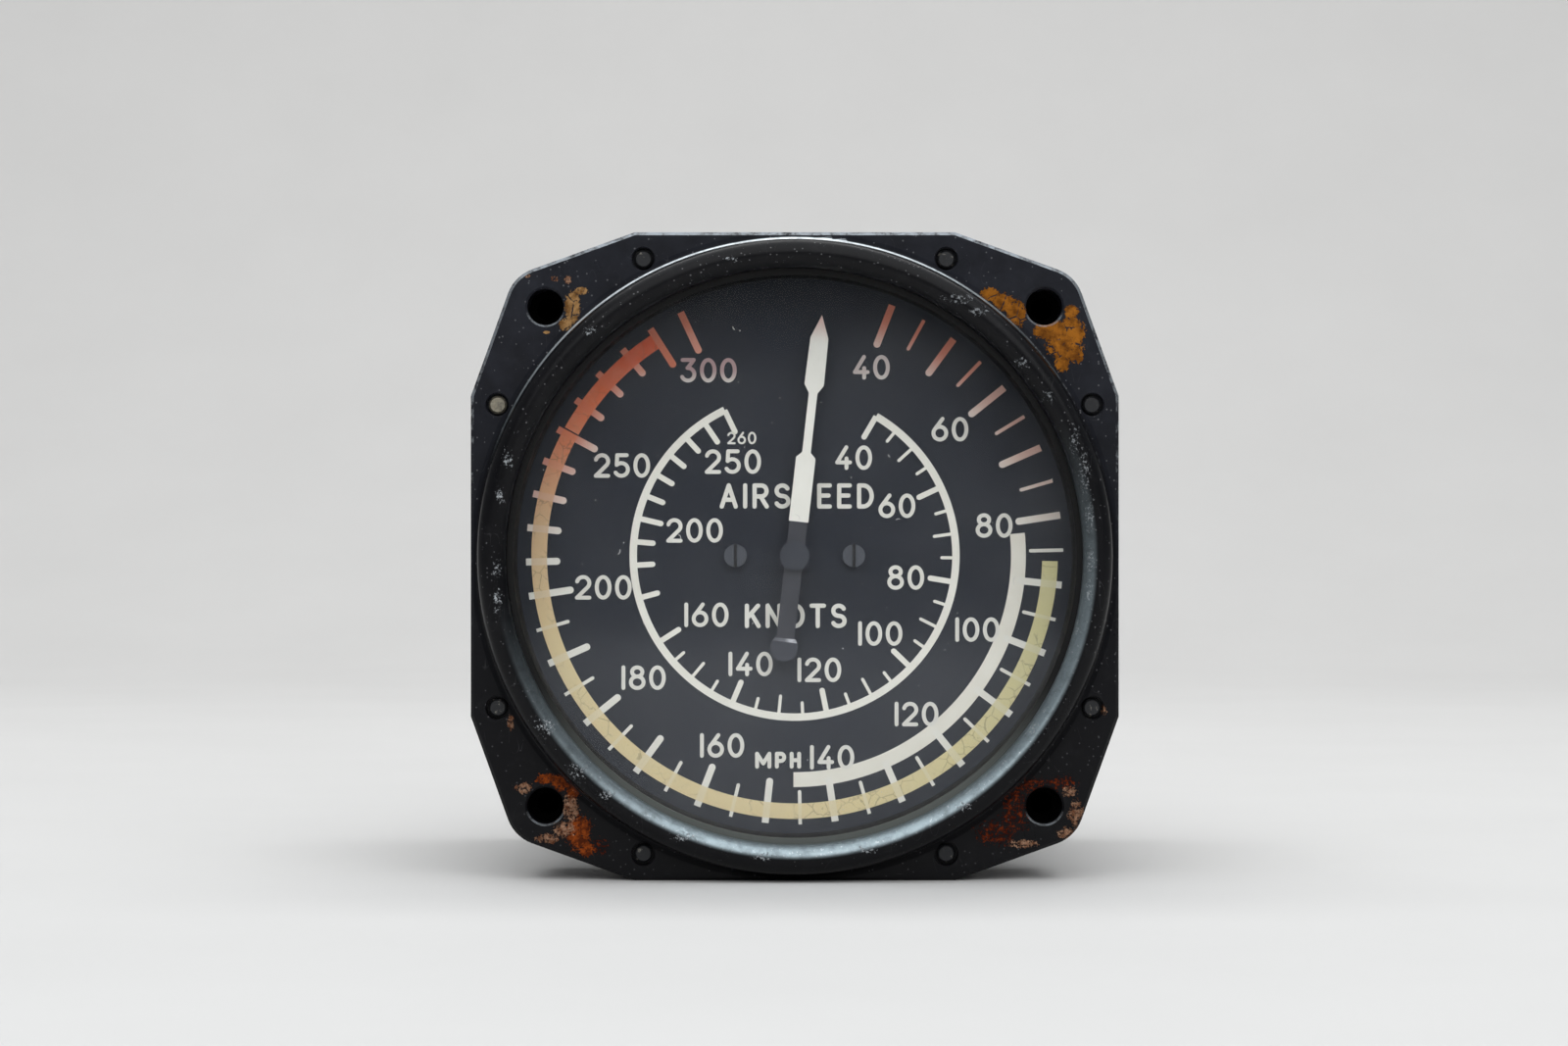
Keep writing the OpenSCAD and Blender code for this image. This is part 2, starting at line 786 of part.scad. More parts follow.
// Inner scale: fives, tens and broad twenties up to the knee, then broad tens
module knots_marks() {
    color("#e9e2cf") print_layer() {
        arc_band(speed_angle(knots_start * knot), speed_angle(knots_end * knot), knots_r, knots_ring_w);
        for (k = [knots_start : fine_count : knots_knee - fine_count]) {
            twenties = k % (2 * coarse_count) == 0;
            len = twenties ? knots_long : k % coarse_count == 0 ? knots_medium : knots_short;
            knots_tick(k, len, twenties ? knots_wide : knots_thin);
        }
        for (k = [knots_knee : coarse_count : knots_end]) {
            knots_tick(k, search(k, long_knots) == [] ? knots_medium : knots_long, knots_wide);
        }
    }
}

// Painted arc between two speeds, open where a graduation stands
module speed_arc(speeds, r_out, w) {
    print_layer() difference() {
        arc_band(speed_angle(speeds[0]), speed_angle(speeds[1]), r_out, w);
        mph_ticks();
        limit_tick();
    }
}

module flap_arc() {
    color("#f2efe6") speed_arc(white_arc_speeds, white_arc_r, white_arc_w);
}

module normal_arc() {
    color("#a8a06e") speed_arc(green_arc_speeds, range_arc_r, range_arc_w);
}

module caution_arc() {
    color("#d99a3c") speed_arc(yellow_arc_speeds, range_arc_r, range_arc_w);
}

module limit_mark() {
    color("#c8482e") print_layer() limit_tick();
}

module dial_screws() {
    z_end = z_plate1_front + dial_post_r;
    color("#26262a") facing() at_dial_posts()
        slotted_screw(dial_screw_r, dial_head_r, dial_head_h, z_dial_front, z_end, dial_slot_turn);
}

// Posts that carry the dial, with a spigot riveted into the front plate
module dial_posts() {
    color("#b59a5a") facing() at_dial_posts() difference() {
        union() {
            rod(dial_post_r, z_plate1_front, z_dial_back);
            rod(dial_post_r / 2, z_plate1_back, z_plate1_front + over);
        }
        rod(dial_screw_r, z_plate1_front + dial_post_r, z_dial_back + over);
    }
}

// Pointer group, drawn at 12 o'clock and turned to its rest

module at_rest_angle() {
    rotate([0, 0, -rest_angle]) children();
}

// Outline of the pointer, with an eye for its hub and a round tail
module pointer_outline() {
    tail = tail_w / 2;
    broad = pointer_w / 2;
    neck = neck_w / 2;
    half = [[tail, -tail_len], [tail, black_to], [broad, black_to], [broad, broad_to],
        [neck, neck_from], [neck, neck_to], [broad, lobe_from], [tail, lobe_to]];
    left = [for (i = [len(half) - 1 : -1 : 0]) [-half[i].x, half[i].y]];
    difference() {
        union() {
            polygon(concat(half, [[0, pointer_len]], left));
            translate([0, -tail_len]) circle(tail);
            circle(hub_r);
        }
        circle(hub_r - hub_shoulder);
    }
}

module pointer() {
    color("#efeadd") facing() at_rest_angle()
        translate([0, 0, z_pointer]) linear_extrude(pointer_t) pointer_outline();
}

// Turned hub pressed on the staff, with a shoulder in front of and behind the pointer
module pointer_hub() {
    color("#202022") facing() difference() {
        union() {
            rod(hub_r - hub_shoulder, z_pointer - hub_back, z_pointer + pointer_t + hub_front / 2);
            rod(hub_r, z_pointer + pointer_t, z_pointer + pointer_t + hub_front);
        }
        rod(staff_r, z_pointer - hub_back - over, z_pointer + pointer_t);
    }
}

// Round slug on the tail: the tail passes through a slot in it, and its front slopes down to the tail
module balance_weight() {
    z_front = z_pointer + pointer_t;
    z_top = z_front + balance_front;
    reach = balance_r + over;
    foot = balance_step + balance_slope;
    cut = [[balance_step, z_top], [foot, z_front], [foot + reach, z_front], [foot + reach, z_top + over],
        [balance_step, z_top + over]];
    color("#202022") facing() at_rest_angle() translate([0, -tail_len, 0]) difference() {
        rod(balance_r, z_pointer - balance_t, z_top);
        translate([-tail_w / 2, -reach, z_pointer]) cube([tail_w, 2 * reach, pointer_t]);
        translate([-reach, 0, 0]) rotate([90, 0, 90]) linear_extrude(2 * reach) polygon(cut);
    }
}

// Half of the angle that a tooth covers at a radius, for involute flanks
function involute(r, base_r) =
    let (t = sqrt(max(0, pow(r / base_r, 2) - 1)))
    t * 180 / PI - atan(t);

function tooth_half(r, pitch_r) =
    let (base_r = pitch_r * cos(pressure_angle))
    tooth_thick / (2 * pitch_r) * 180 / PI + involute(pitch_r, base_r) - involute(max(r, base_r), base_r);

// Outline points of one tooth, from the root on one side to the root on the other
function tooth_points(middle, pitch_r) =
    let (radii = [for (i = [0 : 4]) pitch_r - dedendum + i * (addendum + dedendum) / 4])
    concat(
        [for (r = radii) [r, middle - tooth_half(r, pitch_r)]],
        [for (i = [4 : -1 : 0]) [radii[i], middle + tooth_half(radii[i], pitch_r)]]);

function from_polar(points) = [for (p = points) p[0] * [cos(p[1]), sin(p[1])]];

// Staff with its pinion cut from the same bar; a tooth space faces the sector at rest
module handstaff() {
    step = 360 / pinion_teeth;
    middles = [for (i = [0 : pinion_teeth - 1]) 180 + mesh_angle + (i + 0.5) * step];
    teeth = [for (m = middles) each tooth_points(m, pitch1_r)];
    color("#b9b9b4") facing() {
        rod(staff_r, z_plate2_back - pivot_out, z_pointer + pointer_t);
        translate([0, 0, z_pinion_front - pinion_len])
            linear_extrude(pinion_len) polygon(from_polar(teeth));
    }
}

// Bearing bushes, flush in the two plates
module bushes() {
    for (z = [z_plate1_back, z_plate2_back]) {
        tube(bush_r, staff_r + run_clear, z, z + plate_t);
    }
}

module staff_bushes() {
    color("#c2a35c") facing() bushes();
}

module sector_bushes() {
    color("#c2a35c") facing() at_sector() bushes();
}

module hairspring_collet() {
    color("#c2a35c") facing() tube(collet_r, staff_r, z_spring - collet_h / 2, z_spring + collet_h / 2);
}

// Flat spiral ribbon from the collet to the stud
module hairspring() {
    steps = 24 * spring_turns;
    r0 = collet_r + spring_gap;
    function spiral(i, edge) =
        let (r = r0 + (spring_r - r0) * i / steps + edge)
        let (a = stud_angle + 360 * spring_turns * i / steps)
        r * [cos(a), sin(a)];
    inner = [for (i = [0 : steps]) spiral(i, 0)];
    outer = [for (i = [steps : -1 : 0]) spiral(i, spring_t)];
    color("#8f97a3") facing()
        translate([0, 0, z_spring - spring_h / 2]) linear_extrude(spring_h) polygon(concat(inner, outer));
}

module hairspring_stud() {
    color("#c2a35c") facing() rotate([0, 0, stud_angle])
        translate([spring_r + spring_t + spring_gap + stud_r, 0, 0])
            rod(stud_r, z_plate1_front, z_spring + spring_h);
}

// Movement frame

// Round plate with a lug and a hole for each pillar screw
module screwed_plate(t) {
    linear_extrude(t) difference() {
        union() {
            circle(plate_r);
            at_pillars() circle(lug_r);
        }
        at_pillars() circle(frame_screw_r + screw_clear);
    }
}

// Plate with a bush hole at the axis and at the sector, and round windows
module movement_plate(z) {
    difference() {
        translate([0, 0, z]) screwed_plate(plate_t);
        rod(bush_r, z - over, z + plate_t + over);
        at_sector() rod(bush_r, z - over, z + plate_t + over);
        for (a = window_angles) {
            rotate([0, 0, a]) translate([window_circle_r, 0, 0]) rod(window_r, z - over, z + plate_t + over);
        }
        children();
    }
}

// Opening in the rear plate and the bracket for the lifting arm
module arm_slot(z0, z1) {
    translate([arm_x - arm_slot_x / 2, rocker_y - arm_slot_y / 2, z0])
        cube([arm_slot_x, arm_slot_y, z1 - z0]);
}

module front_plate() {
    color("#b8b09a") facing() movement_plate(z_plate1_back)
        at_dial_posts() rod(dial_post_r / 2, z_plate1_back - over, z_plate1_front + over);
}

module rear_plate() {
    color("#b8b09a") facing() movement_plate(z_plate2_back) {
        arm_slot(z_plate2_back - over, z_plate2_front + over);
        at_bracket_screws() rod(bracket_screw_r, z_plate2_back - over, z_plate2_front + over);
    }
}

module plate_spacers() {
    color("#b59a5a") facing() at_pillars()
        tube(pillar_r, frame_screw_r + screw_clear, z_plate2_front, z_plate1_back);
}

module plate_screws() {
    z_end = z_plate2_back - screw_depth;
    color("#9a968c") facing() at_pillars()
        slotted_screw(frame_screw_r, frame_head_r, frame_head_h, z_plate1_front, z_end, plate_slot_turn);
}

module frame_pillars() {
    color("#b59a5a") facing() at_pillars() difference() {
        rod(pillar_r, z_base_front, z_plate2_back);
        rod(frame_screw_r, z_base_front - over, z_base_front + screw_depth);
        rod(frame_screw_r, z_plate2_back - screw_depth, z_plate2_back + over);
    }
}

module base_plate() {
    color("#b8b09a") facing() difference() {
        translate([0, 0, z_base_back]) screwed_plate(base_t);
        rod(stem_r + seat_clear, z_base_back - over, z_base_front + over);
    }
}

// Sector group, drawn at its rest

// Toothed rim on two spokes, with the drive pin in the first spoke
module sector_outline() {
    middles = [for (i = [-teeth_below : spare_teeth]) mesh_angle + i * tooth_pitch_angle];
    rim_r = pitch2_r - dedendum - rim_w;
    teeth = [for (m = middles) each tooth_points(m, pitch2_r)];
    first = teeth[0][1];
    last = teeth[len(teeth) - 1][1];
    steps = 12;
    inner = [for (i = [0 : steps]) [rim_r, last + (first - last) * i / steps]];
    polygon(from_polar(concat(teeth, inner)));
    circle(sector_hub_r);
    for (a = [drive_angle, first + tooth_pitch_angle]) {
        rotate([0, 0, a]) translate([0, -spoke_w / 2]) square([rim_r + rim_w / 2, spoke_w]);
    }
}

module sector_gear() {
    color("#c9ad66") facing() at_sector() translate([0, 0, z_sector_back])
        linear_extrude(sector_t) difference() {
            sector_outline();
            circle(staff_r);
            rotate([0, 0, drive_angle]) translate([drive_pin_reach, 0]) circle(drive_pin_r);
        }
}

module sector_arbor() {
    color("#b9b9b4") facing() at_sector() rod(staff_r, z_plate2_back - pivot_out, z_plate1_front + pivot_out);
}

module drive_pin() {
    color("#b9b9b4") facing() at_sector() rotate([0, 0, drive_angle]) translate([drive_pin_reach, 0, 0])
        rod(drive_pin_r, z_sector_back - finger_drop - 2 * drive_pin_r, z_sector_front);
}

// Rocking shaft group, drawn at mid travel and turned back to its rest

module at_rocker_rest() {
    translate([0, rocker_y, z_rocker]) rotate([rocker_swing, 0, 0]) children();
}

module rocking_shaft() {
    pivot_end = bracket_t + pivot_out;
    color("#b9b9b4") facing() at_rocker_rest() {
        cross_rod(rocker_r, ear_x[0] + bracket_t + end_play, ear_x[1] - end_play, 0, 0);
        cross_rod(rocker_pivot_r, ear_x[0] - pivot_out, ear_x[1] + pivot_end, 0, 0);
    }
}

// Lever from the rocking shaft down to the axis, with a slot for the cross pin
module capsule_lever() {
    pin_slot_r = link_pin_r + 2 * run_clear;
    pin_slot_len = 0.3;
    color("#c9ad66") facing() at_rocker_rest() side_plate(0, lever_t) difference() {
        union() {
            circle(lever_hub_r);
            translate([-lever_w / 2, -rocker_y - lever_tip]) square([lever_w, rocker_y + lever_tip]);
        }
        circle(rocker_r);
        translate([-pin_slot_r, -rocker_y - pin_slot_len]) square([2 * pin_slot_r, 2 * pin_slot_len]);
        for (s = [-1, 1]) {
            translate([0, -rocker_y + s * pin_slot_len]) circle(pin_slot_r);
        }
    }
}

// Arm from the rocking shaft forward to a round finger under the drive pin
module drive_arm() {
    finger_end = arm_x - arm_offset - drive_pin_r - finger_past;
    color("#c9ad66") facing() at_rocker_rest() {
        side_plate(arm_x, lever_t) difference() {
            union() {
                circle(lever_hub_r);
                translate([-arm_len, -arm_w / 2]) square([arm_len, arm_w]);
            }
            circle(rocker_r);
            translate([-arm_len, 0]) circle(drive_pin_r);
        }
        cross_rod(drive_pin_r, finger_end, arm_x + lever_t / 2, 0, arm_len);
    }
}

module at_bracket_screws() {
    for (x = bracket_screw_x) {
        translate([x, rocker_y, 0]) children();
    }
}

// Bent strip on the back of the rear plate, with two ears that carry the rocking shaft
module rocker_bracket() {
    z_web = z_plate2_back - bracket_t;
    y_low = rocker_y - ear_w / 2;
    x_end = ear_x[1] + bracket_t;
    color("#b8b09a") facing() difference() {
        union() {
            translate([ear_x[0], y_low, z_web]) cube([x_end - ear_x[0], ear_w, bracket_t]);
            for (x = ear_x) {
                translate([x, y_low, z_rocker]) cube([bracket_t, ear_w, z_plate2_back - z_rocker]);
                cross_rod(ear_w / 2, x, x + bracket_t, rocker_y, z_rocker);
            }
        }
        cross_rod(rocker_pivot_r + run_clear, ear_x[0] - over, x_end + over, rocker_y, z_rocker);
        arm_slot(z_web - over, z_plate2_back + over);
        at_bracket_screws() rod(bracket_screw_r + screw_clear, z_web - over, z_plate2_back + over);
    }
}

module bracket_screws() {
    z_web = z_plate2_back - bracket_t;
    color("#9a968c") facing() at_bracket_screws() rotate([180, 0, 0])
        slotted_screw(bracket_screw_r, bracket_head_r, frame_head_h, -z_web, -z_plate2_front, 0);
}

// Capsule group

// Height of a capsule half above its mid plane at a radius
function capsule_rise(r) =
    let (edge = capsule_r - capsule_rim_w)
    let (t = (edge - r) / (edge - capsule_flat_r))
    r <= capsule_flat_r ? capsule_h / 2 :
        capsule_wall + (capsule_h / 2 - capsule_wall) * t + capsule_wave_h * sin(360 * capsule_waves * t) * t;

// Hollow capsule of two corrugated discs joined at the rim, open at the stem
module capsule() {
    edge = capsule_r - capsule_rim_w;
    steps = capsule_waves * capsule_steps;
    radii = [for (i = [0 : steps]) capsule_flat_r + (edge - capsule_flat_r) * i / steps];
    back = [for (i = [steps : -1 : 0]) radii[i]];
    outer_front = [for (r = radii) [r, capsule_rise(r)]];
    outer_back = [for (r = back) [r, -capsule_rise(r)]];
    inner_r = [for (i = [0 : steps - 1]) radii[i]];
    inner_back = [for (r = inner_r) [r, -capsule_rise(r) + capsule_wall]];
    inner_front = [for (i = [steps - 1 : -1 : 0]) [radii[i], capsule_rise(radii[i]) - capsule_wall]];
    rim = [[capsule_r, capsule_wall], [capsule_r, -capsule_wall]];
    half = capsule_h / 2;
    color("#b98d5a") facing() translate([0, 0, z_capsule_mid]) rotate_extrude() polygon(concat(
        [[0, half]], outer_front, rim, outer_back,
        [[stem_bore_r, -half], [stem_bore_r, -half + capsule_wall]],
        inner_back, [[edge, 0]], inner_front, [[0, half - capsule_wall]]));
}

// Tube that carries the capsule on the base plate and leads in the pitot air
module capsule_stem() {
    color("#c2a35c") facing() difference() {
        union() {
            rod(stem_r, z_floor + stem_gasket_t, z_base_front + over);
            rod(stem_flange_r, z_base_front, z_capsule_back);
        }
        rod(stem_bore_r, z_floor, z_capsule_back + over);
    }
}

module stem_nut() {
    color("#c2a35c") facing() difference() {
        translate([0, 0, z_base_back - stem_nut_t]) cylinder(r = stem_nut_r, h = stem_nut_t, $fn = 6);
        rod(stem_r, z_base_back - stem_nut_t - over, z_base_back + over);
    }
}

module stem_gasket() {
    color("#2a2a2a") facing() tube(stem_gasket_r, stem_bore_r, z_floor, z_floor + stem_gasket_t);
}

// Slim post on the capsule with a broader fork round the lever
module capsule_post() {
    z_tip = z_link_pin + fork_tip;
    gap = lever_t / 2 + fork_gap;
    color("#c2a35c") facing() difference() {
        union() {
            rod(post_foot_r, z_capsule_front, z_capsule_front + post_foot_t);
            rod(post_shank_r, z_capsule_front, z_tip);
            rod(post_r, z_link_pin - fork_root - fork_base, z_tip);
        }
        translate([-gap, -post_r - over, z_link_pin - fork_root])
            cube([2 * gap, 2 * (post_r + over), fork_root + fork_tip + over]);
        cross_rod(link_pin_r, -post_r - over, post_r + over, 0, z_link_pin);
    }
}

module link_pin() {
    color("#b9b9b4") facing() cross_rod(link_pin_r, -post_r, post_r, 0, z_link_pin);
}

case();
bezel();
cover_glass();
front_gasket();
rear_gasket();
spacer_ring();
bezel_screws();
dial();
mph_marks();
knots_marks();
flap_arc();
normal_arc();
caution_arc();
limit_mark();
dial_screws();
dial_posts();
front_plate();
plate_spacers();
rear_plate();
plate_screws();
frame_pillars();
base_plate();
case_screws();
staff_bushes();
sector_bushes();
hairspring();
hairspring_stud();
rocker_bracket();
bracket_screws();
capsule();
capsule_stem();
stem_nut();
stem_gasket();
pointer();
pointer_hub();
balance_weight();
handstaff();
hairspring_collet();
sector_gear();
sector_arbor();
drive_pin();
rocking_shaft();
capsule_lever();
drive_arm();
capsule_post();
link_pin();
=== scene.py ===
"""Looks of a panel airspeed indicator: finishes, dial lettering, dust, light and camera."""

import math
import random

import bmesh
import bpy
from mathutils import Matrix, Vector


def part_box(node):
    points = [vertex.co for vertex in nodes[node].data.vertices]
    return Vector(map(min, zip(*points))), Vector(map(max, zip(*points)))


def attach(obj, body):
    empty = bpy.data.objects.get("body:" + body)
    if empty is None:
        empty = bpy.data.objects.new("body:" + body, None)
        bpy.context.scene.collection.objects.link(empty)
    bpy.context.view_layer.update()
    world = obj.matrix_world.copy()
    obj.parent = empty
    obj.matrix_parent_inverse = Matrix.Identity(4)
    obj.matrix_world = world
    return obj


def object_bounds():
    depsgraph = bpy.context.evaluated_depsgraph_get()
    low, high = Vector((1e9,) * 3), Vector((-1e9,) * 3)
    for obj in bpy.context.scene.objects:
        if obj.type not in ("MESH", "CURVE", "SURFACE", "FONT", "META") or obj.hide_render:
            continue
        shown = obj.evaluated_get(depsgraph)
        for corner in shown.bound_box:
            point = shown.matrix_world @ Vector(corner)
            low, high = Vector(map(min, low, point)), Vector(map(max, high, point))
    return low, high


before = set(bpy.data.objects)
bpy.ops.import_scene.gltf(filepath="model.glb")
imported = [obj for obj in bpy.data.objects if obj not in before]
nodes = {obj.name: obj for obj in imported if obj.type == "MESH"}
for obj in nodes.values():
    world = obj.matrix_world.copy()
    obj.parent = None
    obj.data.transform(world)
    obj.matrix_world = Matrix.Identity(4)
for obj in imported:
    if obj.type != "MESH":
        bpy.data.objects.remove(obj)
cad_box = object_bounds()

# Units, and places taken from the frame in metres
MM = 0.001
PER_MM = 1000.0
FLOOR_Z = cad_box[0].z
DIAL_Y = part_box("dial")[0].y
PRINT_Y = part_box("mph_marks")[0].y
GLASS_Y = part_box("cover_glass")[0].y
GLASS_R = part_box("cover_glass")[1].x

# Places on the part that the finishes follow, in millimetres. Names that end in DEG hold degrees clockwise
# from 12 o'clock. A pair is where something starts and where it ends.
RING_R = 39.85
FLANGE_FROM = (RING_R + 0.1, RING_R + 0.9)
CROWN_BAND = (36.3, RING_R - 0.4)
# Where the ring's painted highlights lie: a band low down inside it and a line along its foot
LOW_HIGHLIGHT_BAND = (36.0, 37.6)
LOW_HIGHLIGHT_DEG = (98.0, 226.0)
FOOT_HIGHLIGHT_BAND = (39.75, 40.3)
FOOT_HIGHLIGHT_DEPTH = (-0.75, -0.08)
FOOT_HIGHLIGHT_LEFT_DEG = (285.0, 325.0)
FOOT_HIGHLIGHT_RIGHT_DEG = (55.0, 15.0)
DIRTY_FILLET = (40.22, 40.9)
DULL_CHIPS_DEG = (12.0, 100.0)
PANEL_HOLE_X = 31.43
PANEL_RIM_R = 3.4
PANEL_BORE_R = 2.4
SCREW_CIRCLE_R = 42.05
SCREW_RIM_R = 2.2
SCREW_STEP_DEG = 27
PORT_Z = (0.0, -21.0)
PORT_R = 4.37
PORT_FROM = 60.0
THREAD_PITCH = 0.94
ARC_DEG = (91.2, 327.0)
ARC_BAND = (31.8, 33.8)
POINTER_REST_DEG = 6.5
POINTER_WHITE_FROM = 4.4
# Painted shade, reddish, on the pointer's tip: where it lies
POINTER_TIP_SHADE_BAND = (27.0, 31.0)
DIAL_SCREW_SLOT = (7.38, 7.82)
# Painted highlight on the balance weight: where it fades in along X
WEIGHT_HIGHLIGHT_X = (-1.4, -0.6)
DUST_Z = (-36.0, 20.0)
# Painted light: the flange paler towards the top, between these heights
PAINTED_LIGHT_Z = (-28.0, 34.0)
OCHRE_LEFT_X = (5.0, -5.0)
# Edge wear grows towards the top, partly as painted highlight
EDGE_WEAR_AND_LIGHT_Z = (-5.0, 36.0)
# Painted light on the gasket, paler towards the bottom, between these heights
RUBBER_LIGHT_Z = (-14.0, -32.0)
# Where the painted shade, reddish, lies on the print along the top of the dial
SHADE_RIM_BAND = (26.0, 33.0)
SHADE_RIM_Z = (-1.0, 17.0)
SHADE_RIGHT_DEG = (41.0, 50.0)
SHADE_LEFT_DEG = (179.0, 181.0)
SHADE_TOP_Z = (21.5, 24.0)
SHADE_TOP_X = (7.0, -7.0)

PANEL_CENTRES = [(x, z) for x in (-PANEL_HOLE_X, PANEL_HOLE_X) for z in (-PANEL_HOLE_X, PANEL_HOLE_X)]
PANEL_HOLES = [(x, z, PANEL_RIM_R, PANEL_RIM_R) for x, z in PANEL_CENTRES]
PANEL_BORES = [(x, z, PANEL_BORE_R, PANEL_BORE_R) for x, z in PANEL_CENTRES]
SCREW_TURNS = [math.radians(side + step) for side in (0, 90, 180, 270)
               for step in (-SCREW_STEP_DEG, SCREW_STEP_DEG)]
SCREW_HOLES = [(SCREW_CIRCLE_R * math.sin(a), SCREW_CIRCLE_R * math.cos(a), SCREW_RIM_R, SCREW_RIM_R)
               for a in SCREW_TURNS]

# Wear on the face of the bezel, as (x, z, half width, half height) in millimetres
OCHRE_SPOTS = [
    (-28.0, 31.4, 1.0, 2.2), (-26.9, 33.4, 0.9, 0.5), (-28.9, 29.2, 0.8, 0.8), (-31.3, 28.2, 0.4, 0.2),
    (24.6, 33.0, 1.2, 0.9), (26.3, 32.0, 1.4, 1.1), (28.0, 30.6, 1.2, 1.8), (32.8, 28.4, 2.6, 1.4),
    (34.9, 28.2, 1.7, 2.0), (34.0, 26.4, 2.3, 1.4), (33.7, 24.6, 1.0, 1.4), (34.9, 30.8, 0.9, 0.9),
    (35.5, 25.2, 0.9, 1.1),
]
RUST_SPOTS = [
    (-31.4, -28.0, 1.3, 0.6), (-29.6, -28.6, 1.2, 1.1), (-27.2, -34.8, 1.5, 2.3), (-26.2, -36.8, 1.0, 1.1),
    (-28.0, -29.8, 0.8, 1.0),
]
TAN_SPOTS = [
    (-28.2, -31.8, 1.0, 1.7), (-29.0, -34.3, 1.3, 0.9), (-31.0, -35.5, 1.3, 0.6), (-34.1, -29.1, 0.9, 0.7),
    (35.4, -32.4, 0.8, 1.5), (28.8, -36.2, 1.6, 0.5), (34.0, -34.8, 0.9, 0.7), (34.6, -29.6, 1.0, 0.6),
    (-30.2, 34.9, 0.45, 0.35), (-28.6, 34.8, 0.4, 0.5), (-33.6, 35.3, 0.35, 0.25), (39.0, -19.4, 0.35, 0.6),
    (-35.8, -20.9, 0.4, 0.9),
]
RED_SPOTS = [
    (27.6, -31.8, 1.4, 3.2), (25.4, -34.8, 2.4, 1.4), (29.8, -28.8, 1.6, 0.9), (33.4, -28.6, 1.8, 0.8),
    (-25.0, -36.6, 1.4, 0.8),
]
CHIPS = [
    (-35.9, 12.2, 0.7, 1.5), (-36.8, 7.6, 0.6, 1.3), (-37.2, -1.6, 0.7, 1.3), (-37.2, -5.6, 0.6, 1.9),
    (-31.2, -21.2, 1.3, 1.2), (-27.2, -26.7, 1.4, 1.2), (-23.6, -29.8, 1.2, 0.7), (-13.6, -35.0, 1.8, 0.6),
    (-4.0, -37.4, 1.6, 0.5), (36.9, -0.4, 0.6, 1.7), (36.8, -4.2, 0.5, 1.3), (35.0, -8.6, 0.6, 1.6),
    (29.6, -21.4, 1.1, 0.9), (21.0, -31.2, 1.0, 0.6), (9.0, -36.6, 1.4, 0.5),
    (28.4, 24.2, 1.2, 0.7), (31.6, 20.0, 0.7, 1.0), (-25.6, 28.2, 1.0, 0.6), (-8.0, 37.2, 1.0, 0.4),
    (36.2, 10.5, 0.8, 3.0), (35.0, 14.5, 0.7, 2.0), (36.8, 5.0, 0.7, 2.5), (20.5, 32.2, 2.2, 0.7),
    (23.0, 30.6, 1.4, 0.6),
]
PALE_SCREW = (-37.4, 19.1, 1.3, 1.3)

# Colours. A pair is the dark and the pale end of a mottled colour.
ENAMEL = ((0.0026, 0.0026, 0.0032), (0.0060, 0.0060, 0.0074))
ENAMEL_DUST = (0.24, 0.24, 0.25)
# Painted light: the flange's enamel paler and bluer towards the top
ENAMEL_PAINTED_LIGHT = (0.044, 0.048, 0.064)
OCHRE = ((0.12, 0.040, 0.006), (0.35, 0.125, 0.014))
OCHRE_LEFT = ((0.13, 0.060, 0.018), (0.42, 0.265, 0.12))
RUST_ORANGE = ((0.075, 0.015, 0.004), (0.31, 0.062, 0.009))
PRIMER_TAN = ((0.12, 0.045, 0.022), (0.40, 0.235, 0.150))
RUST_RED = ((0.030, 0.003, 0.002), (0.18, 0.030, 0.007))
CHIP_METAL = ((0.30, 0.32, 0.34), (0.66, 0.70, 0.73))
EDGE_METAL = (0.24, 0.27, 0.30)
# Painted highlight: pale metal on the ring where lamps would shine in the black enamel
RING_PAINTED_HIGHLIGHT = ((0.33, 0.40, 0.43), (0.86, 0.91, 0.94))
THREAD_METAL = ((0.34, 0.33, 0.31), (0.58, 0.57, 0.54))
# Painted shade deep in the panel screw holes
BORE_SHADE = (0.0012, 0.0011, 0.0011)
RUBBER = ((0.004, 0.004, 0.004), (0.010, 0.010, 0.010))
# Painted light on the gasket's lower edge
RUBBER_PAINTED_LIGHT = (0.13, 0.14, 0.13)
SPACER_BLACK = ((0.0030, 0.0030, 0.0036), (0.0075, 0.0075, 0.0085))
DIAL_BLACK = ((0.0055, 0.0080, 0.0140), (0.0100, 0.0135, 0.0230))
HUB_BLACK = ((0.026, 0.029, 0.038), (0.046, 0.050, 0.062))
MATTE_DUST = (0.32, 0.31, 0.30)
DIAL_SCREW_BLACK = ((0.034, 0.038, 0.048), (0.060, 0.066, 0.080))
# Painted shade in the dial screws' slots
SLOT_SHADE = (0.006, 0.006, 0.008)
WEIGHT_BLACK = ((0.026, 0.028, 0.037), (0.044, 0.047, 0.060))
# Painted highlight on the balance weight's slope
WEIGHT_PAINTED_HIGHLIGHT = (0.48, 0.48, 0.50)
MARK_CREAM = ((0.72, 0.69, 0.60), (0.86, 0.84, 0.76))
LETTER_CREAM = ((0.65, 0.625, 0.55), (0.78, 0.765, 0.70))
FLAP_WHITE = ((0.70, 0.66, 0.555), (0.86, 0.83, 0.735))
LIMIT_RED = ((0.42, 0.13, 0.06), (0.52, 0.20, 0.10))
# Painted shade, reddish, on the print and the lettering at the top of the dial
PAINTED_SHADE_TINT = (0.70, 0.18, 0.09)
PAINTED_SHADE_LETTERS = (0.33, 0.16, 0.17)
PRINT_WEAR = (0.30, 0.27, 0.22)
ARC_KHAKI = (0.69, 0.63, 0.31)
